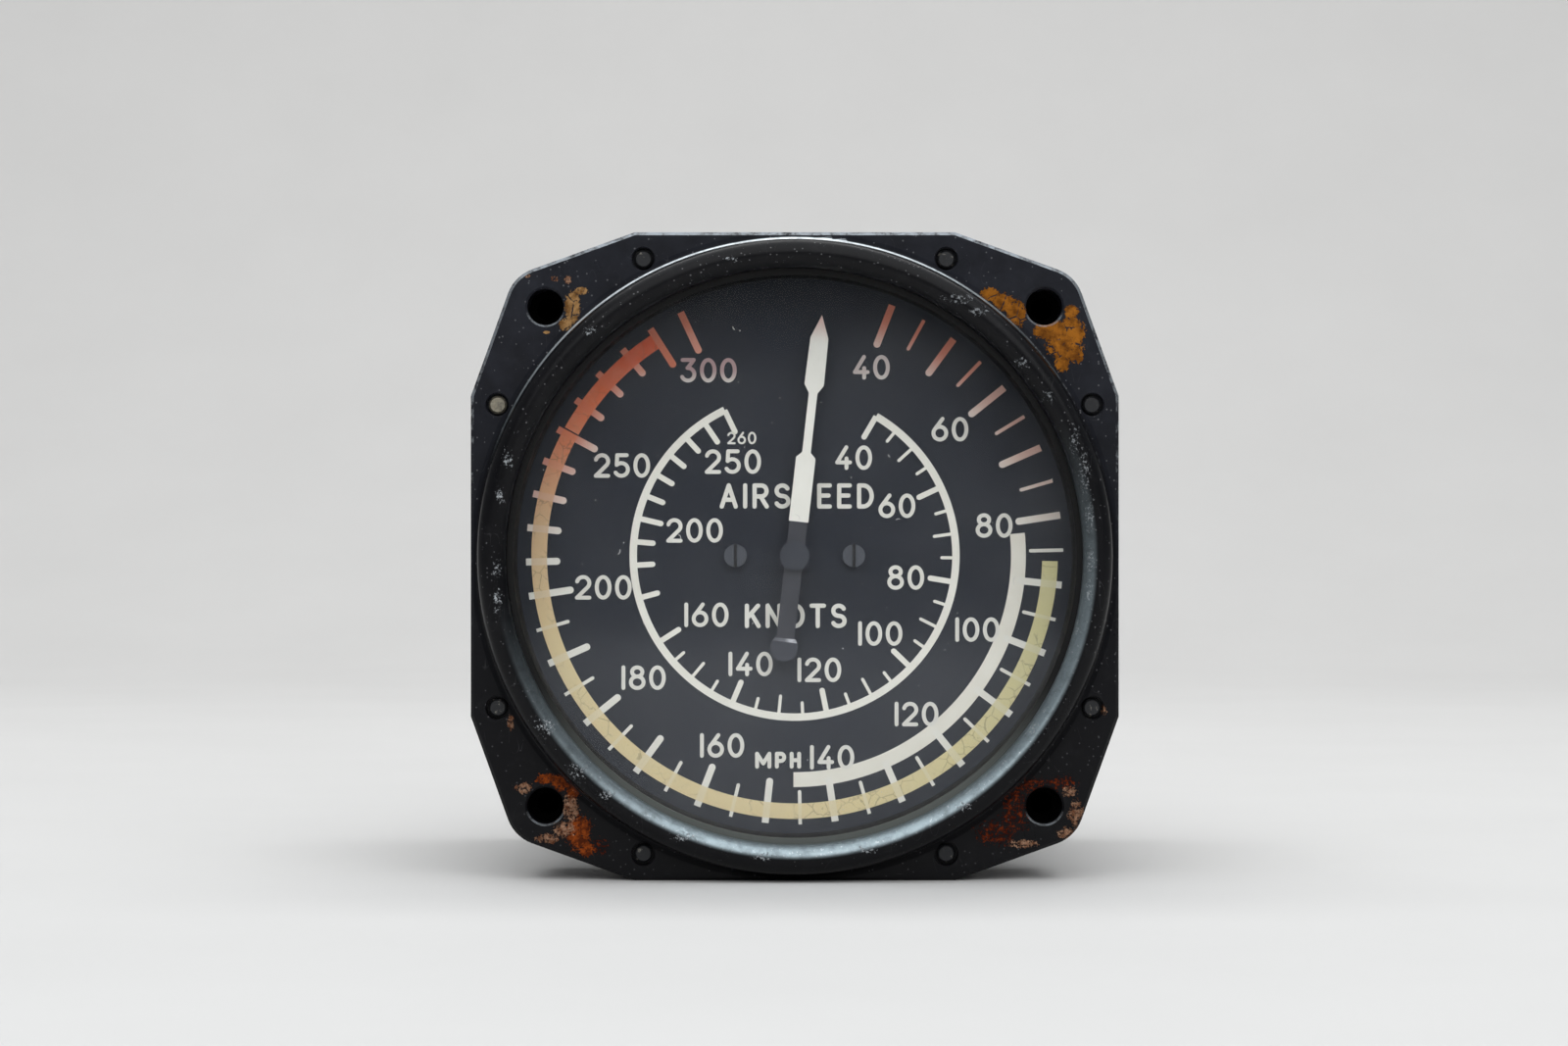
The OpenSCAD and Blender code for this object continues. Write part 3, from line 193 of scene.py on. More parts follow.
# Colours along the arcs by degrees; the last two, red-orange at the top left, are painted shade
ARC_FADES_AND_SHADE = [
    (100.0, 190.0, (0.75, 0.61, 0.325)), (238.0, 285.0, (0.69, 0.44, 0.23)),
    (275.0, 304.0, (0.80, 0.18, 0.06)), (300.0, 326.0, (0.74, 0.08, 0.005)),
]
ARC_FADED = (0.62, 0.56, 0.40)
ARC_GRIME = (0.12, 0.085, 0.045)
POINTER_WHITE = ((0.74, 0.72, 0.64), (0.87, 0.85, 0.78))
POINTER_BLACK = ((0.020, 0.021, 0.028), (0.032, 0.033, 0.043))
POINTER_GRIME = (0.40, 0.36, 0.28)
# Painted shade, reddish, on the pointer's tip
POINTER_TIP_SHADE = (0.66, 0.34, 0.28)
GLASS_TINT = (0.98, 0.99, 1.0)
GLASS_MIRROR = (0.40, 0.41, 0.43)
GLASS_CLEAR = (0.95, 0.955, 0.96)
SCREW_BLACK = ((0.006, 0.0065, 0.008), (0.022, 0.023, 0.026))
SCREW_RUBBED = (0.30, 0.28, 0.24)
SCREW_PALE = ((0.14, 0.12, 0.085), (0.42, 0.39, 0.31))
BRASS = ((0.42, 0.29, 0.10), (0.68, 0.52, 0.24))
PLATE = ((0.46, 0.44, 0.40), (0.70, 0.68, 0.62))
PLATE_TARNISH = (0.30, 0.27, 0.21)
STEEL = ((0.40, 0.40, 0.40), (0.66, 0.66, 0.66))
BLUED = ((0.10, 0.13, 0.22), (0.22, 0.26, 0.36))
BRONZE = ((0.36, 0.20, 0.09), (0.58, 0.36, 0.18))
TARNISH = (0.1, 0.07, 0.04)
SPECK_GREY = ((0.40, 0.39, 0.37), (0.74, 0.73, 0.70))

# Shares and levels of the finishes
ENAMEL_GLOSS = 0.14
BEZEL_DUST = (0.16, 0.45)
CASE_DUST = (0.10, 0.22)
GLASS_IOR = 1.46
PLATE_GRAIN = (0.15, 1.0, 1.0)


class Shader:
    """A material with short calls for the nodes that the finishes use. Places are in millimetres."""

    def __init__(self, name):
        self.material = bpy.data.materials.new(name)
        self.material.use_nodes = True
        self.tree = self.material.node_tree
        self.bsdf = self.tree.nodes["Principled BSDF"]
        coordinates = self.new("ShaderNodeTexCoord").outputs["Object"]
        self.place = self.vector("SCALE", coordinates, scale=PER_MM)

    def new(self, kind):
        return self.tree.nodes.new(kind)

    def put(self, socket, value):
        """Links a socket to another, or sets its value."""
        if isinstance(value, bpy.types.NodeSocket):
            self.tree.links.new(value, socket)
        elif isinstance(value, tuple) and len(value) == 3 and socket.type == "RGBA":
            socket.default_value = (*value, 1.0)
        else:
            socket.default_value = value

    def set(self, **values):
        """Sets the shader's own sockets, with their names in small letters."""
        sockets = {s.name.lower().replace(" ", "_"): s for s in self.bsdf.inputs}
        for name, value in values.items():
            self.put(sockets[name], value)

    def math(self, operation, *values):
        node = self.new("ShaderNodeMath")
        node.operation = operation
        for socket, value in zip(node.inputs, values):
            self.put(socket, value)
        return node.outputs[0]

    def product(self, first, *others):
        """All the values multiplied."""
        for other in others:
            first = self.math("MULTIPLY", first, other)
        return first

    def most(self, first, *others):
        """The largest of the values."""
        for other in others:
            first = self.math("MAXIMUM", first, other)
        return first

    def scaled(self, value, slope, start):
        """The value times slope, added to start."""
        return self.math("MULTIPLY_ADD", value, slope, start)

    def vector(self, operation, first, second=None, scale=None):
        node = self.new("ShaderNodeVectorMath")
        node.operation = operation
        self.put(node.inputs[0], first)
        if second is not None:
            self.put(node.inputs[1], second)
        if scale is not None:
            self.put(node.inputs["Scale"], scale)
        return node.outputs["Value" if operation == "LENGTH" else "Vector"]

    def axes(self):
        """The place along X, Y and Z."""
        node = self.new("ShaderNodeSeparateXYZ")
        self.put(node.inputs[0], self.place)
        return node.outputs

    def noise(self, scale, detail=4.0, roughness=0.55, stretch=None):
        """Noise with about scale lumps in a millimetre, drawn out along the axes by stretch."""
        node = self.new("ShaderNodeTexNoise")
        place = self.place if stretch is None else self.vector("MULTIPLY", self.place, stretch)
        self.put(node.inputs["Vector"], place)
        self.put(node.inputs["Scale"], scale)
        self.put(node.inputs["Detail"], detail)
        self.put(node.inputs["Roughness"], roughness)
        return node.outputs["Fac"]

    def ramp(self, value, low, high, start=0.0, end=1.0):
        """Smooth step from start, where value is low, to end, where it is high."""
        node = self.new("ShaderNodeMapRange")
        node.interpolation_type = "SMOOTHSTEP"
        for socket, number in zip(node.inputs, (value, low, high, start, end)):
            self.put(socket, number)
        return node.outputs["Result"]

    def mix(self, share, first, second):
        """Colour between two others."""
        node = self.new("ShaderNodeMix")
        node.data_type = "RGBA"
        self.put(node.inputs[0], share)
        self.put(node.inputs[6], first)
        self.put(node.inputs[7], second)
        return node.outputs[2]

    def blend(self, share, first, second):
        """Number between two others."""
        node = self.new("ShaderNodeMix")
        node.data_type = "FLOAT"
        self.put(node.inputs[0], share)
        self.put(node.inputs[2], first)
        self.put(node.inputs[3], second)
        return node.outputs[0]

    def bump(self, height, depth_mm):
        node = self.new("ShaderNodeBump")
        self.put(node.inputs["Distance"], depth_mm * MM)
        self.put(node.inputs["Height"], height)
        self.put(self.bsdf.inputs["Normal"], node.outputs["Normal"])

    def radius(self):
        """Distance from the instrument's axis."""
        return self.vector("LENGTH", self.vector("MULTIPLY", self.place, (1.0, 0.0, 1.0)))

    def turn(self):
        """Degrees clockwise from 12 o'clock, from 0 to 360."""
        x, _, z = self.axes()
        wrapped = self.math("WRAP", self.math("ARCTAN2", x, z), 0.0, 2.0 * math.pi)
        return self.product(wrapped, 180.0 / math.pi)

    def within(self, value, low, high, edge):
        """1 between low and high, with soft edges."""
        rise = self.ramp(value, low - edge, low + edge)
        return self.product(rise, self.ramp(value, high + edge, high - edge))

    def facing(self):
        """The surface's direction along the axes: its Y is -1 on the front faces and 0 on the sides."""
        node = self.new("ShaderNodeSeparateXYZ")
        self.put(node.inputs[0], self.new("ShaderNodeNewGeometry").outputs["True Normal"])
        return node.outputs

    def nearness(self, places):
        """0 in the middle of the nearest patch (x, z, half width, half height) of the face, 1 at its edge."""
        nearest = None
        for x, z, half_w, half_h in places:
            moved = self.vector("SUBTRACT", self.place, (x, 0.0, z))
            reach = self.vector("LENGTH", self.vector("MULTIPLY", moved, (1 / half_w, 0.0, 1 / half_h)))
            nearest = reach if nearest is None else self.math("MINIMUM", nearest, reach)
        return nearest

    def spots(self, places, ragged, scale):
        """1 inside the patches, with ragged edges and some islands left out."""
        broad = self.scaled(self.noise(scale, 8.0, 0.72), ragged, -0.5 * ragged)
        fine = self.scaled(self.noise(4.0 * scale, 6.0, 0.7), 0.8 * ragged, -0.4 * ragged)
        edge = self.math("ADD", self.nearness(places), self.math("ADD", broad, fine))
        return self.ramp(edge, 1.0, 0.93)

    def specks(self, scale, size_mm, share):
        """Small grains, at most size_mm in radius, in a share of the cells of a scattered grid."""
        node = self.new("ShaderNodeTexVoronoi")
        self.put(node.inputs["Vector"], self.place)
        self.put(node.inputs["Scale"], scale)
        chance = self.new("ShaderNodeSeparateColor")
        self.put(chance.inputs[0], node.outputs["Color"])
        reach = self.product(chance.outputs["Green"], size_mm * scale)
        grain = self.ramp(node.outputs["Distance"], reach, self.product(reach, 0.6))
        return self.product(grain, self.ramp(chance.outputs["Red"], 1.0 - share, 1.01 - share))

    def cracks(self, scale, width_mm):
        """Thin lines between the cells of a scattered grid, bent a little."""
        node = self.new("ShaderNodeTexVoronoi")
        node.feature = "DISTANCE_TO_EDGE"
        bent = self.scaled(self.noise(0.9, 4.0), 0.8, -0.4)
        self.put(node.inputs["Vector"], self.vector("ADD", self.place, bent))
        self.put(node.inputs["Scale"], scale)
        return self.ramp(node.outputs["Distance"], width_mm * scale, 0.3 * width_mm * scale)

    def scratches(self, scale, width, stretch):
        """Thin broken lines."""
        line = self.math("ABSOLUTE", self.math("SUBTRACT", self.noise(scale, 0.0, stretch=stretch), 0.5))
        broken = self.ramp(self.noise(0.35, 2.0), 0.52, 0.62)
        return self.product(self.ramp(line, width, 0.0), broken)


# Finishes

def enamel(s, dust_low, dust_high):
    """Black gloss enamel with dust, thicker towards the top.

    Returns its colour, roughness, relief and grain."""
    _, _, z = s.axes()
    cloud = s.noise(0.09, 4.0)
    grain = s.noise(4.5, 4.0, 0.7)
    film = s.ramp(s.noise(0.3, 6.0, 0.7), 0.5, 0.85, 0.0, 0.03)
    speck = s.product(s.specks(1.8, 0.14, 0.6), s.ramp(z, *DUST_Z, dust_low, dust_high))
    scratch = s.product(s.scratches(0.5, 0.005, (1.0, 1.0, 0.35)), 0.12)
    dust = s.most(film, speck, scratch)
    color = s.mix(dust, s.mix(cloud, *ENAMEL), ENAMEL_DUST)
    rough = s.blend(dust, s.scaled(cloud, 0.14, 0.22), 0.7)
    height = s.scaled(s.noise(2.2, 2.0), 0.20, s.product(grain, 0.10))
    return color, rough, height, grain


def rust_layers(s, color, on_flange):
    """Rust, primer and stains round the panel holes. Returns the colour, their share and their mottling."""
    x, _, _ = s.axes()
    mottle = s.noise(1.1, 8.0, 0.75)
    lumps = s.ramp(mottle, 0.40, 0.62)
    broad = s.ramp(s.noise(0.55, 7.0, 0.66), 0.36, 0.62)
    to_left = s.ramp(x, *OCHRE_LEFT_X, 0.0, 0.75)
    ochre = s.mix(to_left, s.mix(broad, *OCHRE), s.mix(broad, *OCHRE_LEFT))
    cracked = s.product(s.cracks(0.36, 0.11), s.ramp(s.noise(0.6, 3.0), 0.45, 0.55))
    whole = s.math("SUBTRACT", 1.0, cracked)
    red = s.mix(s.ramp(mottle, 0.42, 0.64), *RUST_RED)
    layers = (
        (RED_SPOTS, red, 3.2, s.ramp(s.noise(2.2, 7.0, 0.75), 0.47, 0.54)),
        (RUST_SPOTS, s.mix(lumps, *RUST_ORANGE), 2.0, s.ramp(s.noise(1.7, 8.0, 0.75), 0.40, 0.45, 0.0, 0.95)),
        (OCHRE_SPOTS, ochre, 1.2, s.product(whole, s.ramp(s.noise(1.3, 8.0, 0.74), 0.385, 0.42))),
        (TAN_SPOTS, s.mix(lumps, *PRIMER_TAN), 2.6, s.ramp(s.noise(2.0, 8.0, 0.75), 0.44, 0.50)),
    )
    shares = []
    for places, paint, ragged, left in layers:
        share = s.product(s.spots(places, ragged, 0.8), on_flange, left)
        color = s.mix(share, color, paint)
        shares.append(share)
    return color, s.most(*shares), mottle


def ring_chips(s):
    """Flecks of bare metal on the crown of the ring, duller at the upper right."""
    rubbed_and_highlit = s.ramp(s.nearness(CHIPS), 1.6, 0.4, 0.66, 0.50)
    fleck = s.ramp(s.math("SUBTRACT", s.noise(2.6, 6.0, 0.72), rubbed_and_highlit), 0.0, 0.10)
    dull = s.within(s.turn(), *DULL_CHIPS_DEG, 15.0)
    return s.product(fleck, s.within(s.radius(), *CROWN_BAND, 0.5), s.scaled(dull, -0.55, 1.0))


def ring_painted_highlights(s):
    """Painted highlights on the ring, in pale metal: a band low down on its inside, and a line along the
    upper half of its foot.

    Returns the share of the low band, the share of both, and their colour."""
    radius, turn = s.radius(), s.turn()
    _, depth, _ = s.axes()
    low = s.product(s.within(radius, *LOW_HIGHLIGHT_BAND, 0.35), s.within(turn, *LOW_HIGHLIGHT_DEG, 38.0))
    upper = s.most(s.ramp(turn, *FOOT_HIGHLIGHT_LEFT_DEG), s.ramp(turn, *FOOT_HIGHLIGHT_RIGHT_DEG))
    foot = s.product(s.within(radius, *FOOT_HIGHLIGHT_BAND, 0.1), s.within(depth, *FOOT_HIGHLIGHT_DEPTH, 0.05), upper)
    painted_sheen = s.product(s.most(low, foot), s.ramp(s.noise(0.7, 7.0, 0.75), 0.25, 0.6, 0.5, 0.9))
    painted_glint = s.most(foot, s.ramp(s.noise(2.2, 6.0, 0.75), 0.58, 0.68, 0.0, 0.8))
    return low, painted_sheen, s.mix(painted_glint, *RING_PAINTED_HIGHLIGHT)


def worn_and_highlit_edges(s, on_flange):
    """Bare metal along the sloping edges of the flange, more towards the top, partly wear and partly painted
    highlight, and a painted highlight on the panel hole rims where they face up.
    """
    _, _, z = s.axes()
    _, front, up = s.facing()
    sloped = s.product(s.within(front, -0.9, -0.4, 0.04), on_flange)
    outline = s.ramp(s.nearness(PANEL_HOLES + SCREW_HOLES), 0.96, 1.0)
    # More bare metal towards the top: partly wear, partly painted highlight
    kept = s.ramp(z, *EDGE_WEAR_AND_LIGHT_Z, 0.62, 0.34)
    worn = s.ramp(s.math("SUBTRACT", s.noise(0.8, 8.0, 0.78), kept), 0.0, 0.22, 0.0, 0.8)
    rim = s.ramp(s.nearness(PANEL_HOLES), 1.0, 0.96)
    # Painted highlight: pale metal on the hole rims only where they face up
    rim_painted_highlight = s.product(s.ramp(up, 0.15, 0.55), s.ramp(s.noise(1.2, 6.0, 0.7), 0.35, 0.65, 0.1, 0.7))
    return s.most(s.product(sloped, outline, worn), s.product(sloped, rim, rim_painted_highlight))


def worn_enamel():
    """Enamel of the bezel, with rust round the panel holes, chips, worn edges, painted highlights on the ring
    and on the panel hole rims, and painted light towards the top of the flange.
    """
    s = Shader("worn_enamel")
    color, rough, height, grain = enamel(s, *BEZEL_DUST)
    radius = s.radius()
    _, _, z = s.axes()
    on_flange = s.ramp(radius, *FLANGE_FROM)
    # Painted light: the flange lighter towards the top
    top_painted_light = s.product(s.ramp(z, *PAINTED_LIGHT_Z, 0.0, 0.55), on_flange, s.noise(0.25, 5.0, 0.6))
    color = s.mix(top_painted_light, color, ENAMEL_PAINTED_LIGHT)
    color, rust, mottle = rust_layers(s, color, on_flange)
    # Painted highlights on the ring, in pale metal
    low_painted_highlight, painted_sheen, painted_sheen_color = ring_painted_highlights(s)
    color = s.mix(painted_sheen, color, painted_sheen_color)
    edge = worn_and_highlit_edges(s, on_flange)
    # Bare metal: chips and worn edges, and also the painted highlights on the hole rims
    bare = s.most(ring_chips(s), edge)
    color = s.mix(bare, color, s.mix(edge, s.mix(grain, *CHIP_METAL), EDGE_METAL))
    for share, level in ((low_painted_highlight, 0.34), (rust, 0.85), (bare, 0.40)):
        rough = s.blend(share, rough, level)
    dull = s.most(rust, s.within(radius, *DIRTY_FILLET, 0.08))
    s.set(base_color=color, roughness=rough, metallic=s.most(s.product(bare, 0.9), painted_sheen),
          specular_ior_level=s.blend(dull, ENAMEL_GLOSS, 0.06))
    height = s.math("ADD", height, s.product(rust, mottle, 1.6))
    s.bump(s.math("SUBTRACT", height, bare), 0.05)
    return s.material


def case_enamel():
    """Enamel of the case, with bare threads in its ports and painted shade deep in the panel screw holes."""
    s = Shader("case_enamel")
    color, rough, height, grain = enamel(s, *CASE_DUST)
    _, depth, _ = s.axes()
    port = s.ramp(s.nearness([(0.0, z, PORT_R, PORT_R) for z in PORT_Z]), 1.03, 1.01)
    port = s.product(port, s.ramp(depth, PORT_FROM, PORT_FROM + 0.2))
    thread = s.math("SINE", s.product(depth, 2.0 * math.pi / THREAD_PITCH))
    color = s.mix(port, color, s.mix(grain, *THREAD_METAL))
    # Painted shade: near black deep in the panel screw holes
    bore_shade = s.ramp(s.nearness(PANEL_BORES), 1.02, 0.98)
    s.set(base_color=s.mix(bore_shade, color, BORE_SHADE), roughness=s.blend(bore_shade, rough, 0.9),
          metallic=s.product(port, 0.9), specular_ior_level=s.blend(bore_shade, ENAMEL_GLOSS, 0.05))
    s.bump(s.math("ADD", height, s.product(thread, port, 3.0)), 0.05)
    return s.material


def rubber():
    """Black rubber, with painted light: paler along the bottom of the dial, where its edge faces up."""
    s = Shader("gasket_rubber")
    _, _, z = s.axes()
    cloud = s.noise(0.5, 5.0)
    # Painted light: paler towards the bottom, where the gasket's edge faces up
    painted_light_low = s.ramp(z, *RUBBER_LIGHT_Z, 0.0, 0.8)
    s.set(base_color=s.mix(painted_light_low, s.mix(cloud, *RUBBER), RUBBER_PAINTED_LIGHT),
          roughness=s.scaled(cloud, 0.2, 0.6), specular_ior_level=0.2)
    s.bump(s.noise(6.0, 3.0), 0.02)
    return s.material


def matte_black(name, paint, dust_share, gloss=0.3):
    """Flat black paint with a film of fine dust."""
    s = Shader(name)
    cloud = s.noise(0.12, 5.0, 0.6)
    speck = s.ramp(s.noise(2.6, 4.0, 0.6), 0.70, 0.76, 0.0, dust_share)
    s.set(base_color=s.mix(speck, s.mix(cloud, *paint), MATTE_DUST), specular_ior_level=gloss,
          roughness=s.scaled(cloud, 0.2, 0.55))
    s.bump(s.noise(8.0, 3.0), 0.01)
    return s.material


def dial_screw_paint():
    """Blackened screw heads with painted shade in their slots."""
    s = Shader("dial_screw_paint")
    x, _, _ = s.axes()
    cloud = s.noise(1.5, 5.0, 0.65)
    # Painted shade in the slots
    slot = s.within(s.math("ABSOLUTE", x), *DIAL_SCREW_SLOT, 0.03)
    s.set(base_color=s.mix(slot, s.mix(cloud, *DIAL_SCREW_BLACK), SLOT_SHADE),
          roughness=s.scaled(cloud, 0.3, 0.35))
    s.bump(cloud, 0.02)
    return s.material


def weight_paint():
    """Black paint of the balance weight, with a painted highlight of pale metal along its slope."""
    s = Shader("weight_paint")
    x, _, _ = s.axes()
    _, front, _ = s.facing()
    cloud = s.noise(1.0, 5.0, 0.6)
    # Painted highlight: pale metal along the sloping face, stronger to the right
    slope = s.product(s.within(front, -0.92, -0.6, 0.03), s.ramp(x, *WEIGHT_HIGHLIGHT_X, 0.15, 1.0))
    rubbed_and_highlit = s.product(slope, s.ramp(s.noise(2.0, 5.0, 0.7), 0.3, 0.6, 0.5, 1.0))
    s.set(base_color=s.mix(rubbed_and_highlit, s.mix(cloud, *WEIGHT_BLACK), WEIGHT_PAINTED_HIGHLIGHT),
          metallic=s.product(rubbed_and_highlit, 0.8), roughness=s.blend(rubbed_and_highlit, 0.6, 0.35), specular_ior_level=0.3)
    s.bump(s.noise(8.0, 3.0), 0.01)
    return s.material


def arc_color_and_shade(s):
    """Colour of the range arcs round the dial: khaki on the right, cream below, and red-orange at the top
    left, which is painted shade.
    """
    turn = s.turn()
    color = ARC_KHAKI
    for start, end, paint in ARC_FADES_AND_SHADE:
        color = s.mix(s.ramp(turn, start, end), color, paint)
    return color


def painted_shade_share(s):
    """Share of painted shade, reddish, on the print: most along the top of the dial, where the ring shades
    it, and less down its right side.
    """
    x, _, z = s.axes()
    turn = s.turn()
    side = s.most(s.ramp(turn, *SHADE_RIGHT_DEG, 1.0, 0.58), s.ramp(turn, *SHADE_LEFT_DEG))
    rim = s.product(s.ramp(s.radius(), *SHADE_RIM_BAND), s.ramp(z, *SHADE_RIM_Z), side)
    top = s.product(s.ramp(z, *SHADE_TOP_Z, 0.0, 0.6), s.ramp(x, *SHADE_TOP_X, 0.73, 1.4))
    return s.product(s.most(rim, top), 0.95)


def print_paint_and_shade(name, paint, shade_tint=PAINTED_SHADE_TINT, crossing=False):
    """Aged print, a little mottled, with painted shade, reddish, along the top of the dial.

    Print that crosses the painted arcs takes most of their colour there."""
    s = Shader(name)
    cloud = s.noise(0.35, 5.0, 0.6)
    # Painted shade, reddish, along the top of the dial
    color = s.mix(painted_shade_share(s), s.mix(cloud, *paint), shade_tint)
    if crossing:
        over_arc = s.product(s.within(s.radius(), *ARC_BAND, 0.05), s.within(s.turn(), *ARC_DEG, 0.3), 0.72)
        color = s.mix(over_arc, color, arc_color_and_shade(s))
    wear = s.ramp(s.noise(3.0, 5.0, 0.7), 0.66, 0.74, 0.0, 0.35)
    s.set(base_color=s.mix(wear, color, PRINT_WEAR), roughness=s.scaled(cloud, 0.2, 0.5))
    s.bump(s.noise(5.0, 4.0), 0.015)
    return s.material


def arc_paint_and_shade():
    """Faded, finely cracked paint of the range arcs, with painted shade, reddish, at the top left."""
    s = Shader("range_arc_paint")
    cloud = s.noise(0.3, 5.0, 0.65)
    color = s.mix(s.ramp(cloud, 0.35, 0.7, 0.0, 0.15), arc_color_and_shade(s), ARC_FADED)
    crack = s.product(s.cracks(0.55, 0.07), s.ramp(s.noise(0.2, 3.0), 0.42, 0.58))
    grime = s.ramp(s.noise(2.2, 5.0, 0.7), 0.62, 0.72, 0.0, 0.4)
    s.set(base_color=s.mix(s.most(s.product(crack, 0.4), grime), color, ARC_GRIME),
          roughness=s.scaled(cloud, 0.2, 0.45))
    s.bump(s.math("SUBTRACT", s.noise(3.0, 4.0), crack), 0.02)
    return s.material


def pointer_paint():
    """White ahead of the hub, with painted shade, reddish, on its tip, and black behind it."""
    s = Shader("pointer_paint")
    x, _, z = s.axes()
    rest = math.radians(POINTER_REST_DEG)
    ahead = s.math("ADD", s.product(x, math.sin(rest)), s.product(z, math.cos(rest)))
    cloud = s.noise(0.4, 5.0, 0.6)
    grime = s.ramp(s.noise(1.8, 5.0, 0.7), 0.62, 0.75, 0.0, 0.3)
    white = s.mix(grime, s.mix(cloud, *POINTER_WHITE), POINTER_GRIME)
    # Painted shade, reddish, on the tip
    white = s.mix(s.ramp(s.radius(), *POINTER_TIP_SHADE_BAND, 0.0, 0.7), white, POINTER_TIP_SHADE)
    in_front = s.ramp(ahead, POINTER_WHITE_FROM - 0.04, POINTER_WHITE_FROM + 0.04)
    s.set(base_color=s.mix(in_front, s.mix(cloud, *POINTER_BLACK), white),
          roughness=s.scaled(cloud, 0.2, 0.42))
    s.bump(s.noise(4.0, 4.0), 0.012)
    return s.material


def cover_glass():
    """Clear plate glass with a thin film of dirt. Lamps shine through it on to the dial."""
    s = Shader("plate_glass")
    film = s.ramp(s.noise(0.05, 5.0, 0.6), 0.3, 0.8, 0.995, 0.986)
    smear = s.ramp(s.noise(0.25, 5.0, 0.6, (1.0, 1.0, 0.5)), 0.45, 0.75, 0.0, 0.02)
    s.set(base_color=GLASS_TINT, transmission_weight=film, roughness=smear, ior=GLASS_IOR,
          specular_tint=GLASS_MIRROR)
    path = s.new("ShaderNodeLightPath")
    clear = s.new("ShaderNodeBsdfTransparent")
    s.put(clear.inputs["Color"], GLASS_CLEAR)
    switch = s.new("ShaderNodeMixShader")
    output = s.tree.nodes["Material Output"]
    s.put(switch.inputs[0], path.outputs["Is Shadow Ray"])
    s.put(switch.inputs[1], s.bsdf.outputs[0])
    s.put(switch.inputs[2], clear.outputs[0])
    s.put(output.inputs["Surface"], switch.outputs[0])
    return s.material


def turned_metal(name, metal, rough, stretch=(1.0, 1.0, 1.0), tarnish=TARNISH):
    """Bare metal with tool marks along the stretch and a little tarnish."""
    s = Shader(name)
    marks = s.noise(2.5, 4.0, 0.6, stretch)
    stain = s.ramp(s.noise(0.2, 5.0, 0.65), 0.5, 0.78, 0.0, 0.6)
    s.set(base_color=s.mix(stain, s.mix(marks, *metal), tarnish), metallic=1.0,
          roughness=s.math("ADD", s.product(marks, 0.15), s.blend(stain, rough, rough + 0.25)))
    s.bump(marks, 0.012)
    return s.material


def screw_metal():
    """Blackened steel, worn to pale metal on one end of the row round the bezel."""
    s = Shader("blackened_screws")
    _, front, _ = s.facing()
    marks = s.noise(3.0, 5.0, 0.65)
    bright = s.ramp(s.noise(1.4, 4.0, 0.7), 0.60, 0.68, 0.0, 0.6)
    color = s.mix(bright, s.mix(marks, *SCREW_BLACK), SCREW_RUBBED)
    pale = s.product(s.spots([PALE_SCREW], 0.9, 1.2), s.ramp(front, -0.5, -0.8),
                     s.ramp(s.noise(1.1, 5.0, 0.7), 0.3, 0.6, 0.45, 1.0))
    s.set(base_color=s.mix(pale, color, s.mix(marks, *SCREW_PALE)), metallic=s.scaled(pale, 0.5, 0.3),
          roughness=s.scaled(marks, 0.25, 0.34))
    s.bump(marks, 0.02)
    return s.material


def dust_material():
    """Pale dust and lint."""
    s = Shader("dust_specks")
    s.set(base_color=s.mix(s.noise(0.8, 3.0), *SPECK_GREY), roughness=0.9)
    return s.material


def assign(material, *names):
    """Gives CAD nodes a finish."""
    for name in names:
        mesh = nodes[name].data
        mesh.materials.clear()
        mesh.materials.append(material)


assign(worn_enamel(), "bezel")
assign(case_enamel(), "case")
assign(cover_glass(), "cover_glass")
assign(rubber(), "front_gasket", "rear_gasket", "stem_gasket")
assign(matte_black("spacer_paint", SPACER_BLACK, 0.2, gloss=0.04), "spacer_ring")
assign(matte_black("dial_paint", DIAL_BLACK, 0.25), "dial")
assign(dial_screw_paint(), "dial_screws")
assign(matte_black("hub_paint", HUB_BLACK, 0.3), "pointer_hub")
assign(weight_paint(), "balance_weight")
assign(print_paint_and_shade("dial_print", MARK_CREAM, crossing=True), "mph_marks", "knots_marks")
assign(print_paint_and_shade("flap_arc_paint", FLAP_WHITE), "flap_arc")
assign(arc_paint_and_shade(), "normal_arc", "caution_arc")
assign(print_paint_and_shade("limit_paint", LIMIT_RED), "limit_mark")
assign(pointer_paint(), "pointer")
assign(screw_metal(), "bezel_screws", "case_screws")
assign(turned_metal("sheet_metal", PLATE, 0.3, PLATE_GRAIN, PLATE_TARNISH),
       "front_plate", "rear_plate", "base_plate", "rocker_bracket")
assign(turned_metal("turned_brass", BRASS, 0.26),
       "dial_posts", "plate_spacers", "frame_pillars", "staff_bushes", "sector_bushes", "hairspring_stud",
       "hairspring_collet", "capsule_stem", "stem_nut", "capsule_post", "sector_gear", "capsule_lever",
       "drive_arm")
assign(turned_metal("polished_steel", STEEL, 0.2),
       "handstaff", "sector_arbor", "drive_pin", "rocking_shaft", "link_pin", "plate_screws",
       "bracket_screws")
assign(turned_metal("blued_spring", BLUED, 0.25), "hairspring")
assign(turned_metal("spring_bronze", BRONZE, 0.3), "capsule")


# Stroke lettering: each sign is its width and its strokes, on a grid one unit high

def arc(x, y, half_w, half_h, start, end, steps=14):
    """Points along an ellipse between two angles in degrees."""
    angles = [math.radians(start + (end - start) * i / steps) for i in range(steps + 1)]
    return [(x + half_w * math.cos(a), y + half_h * math.sin(a)) for a in angles]


def loop(x, y, half_w, half_h, steps=28):
    """Closed ellipse: its last point repeats the first."""
    return arc(x, y, half_w, half_h, 90, 450, steps)


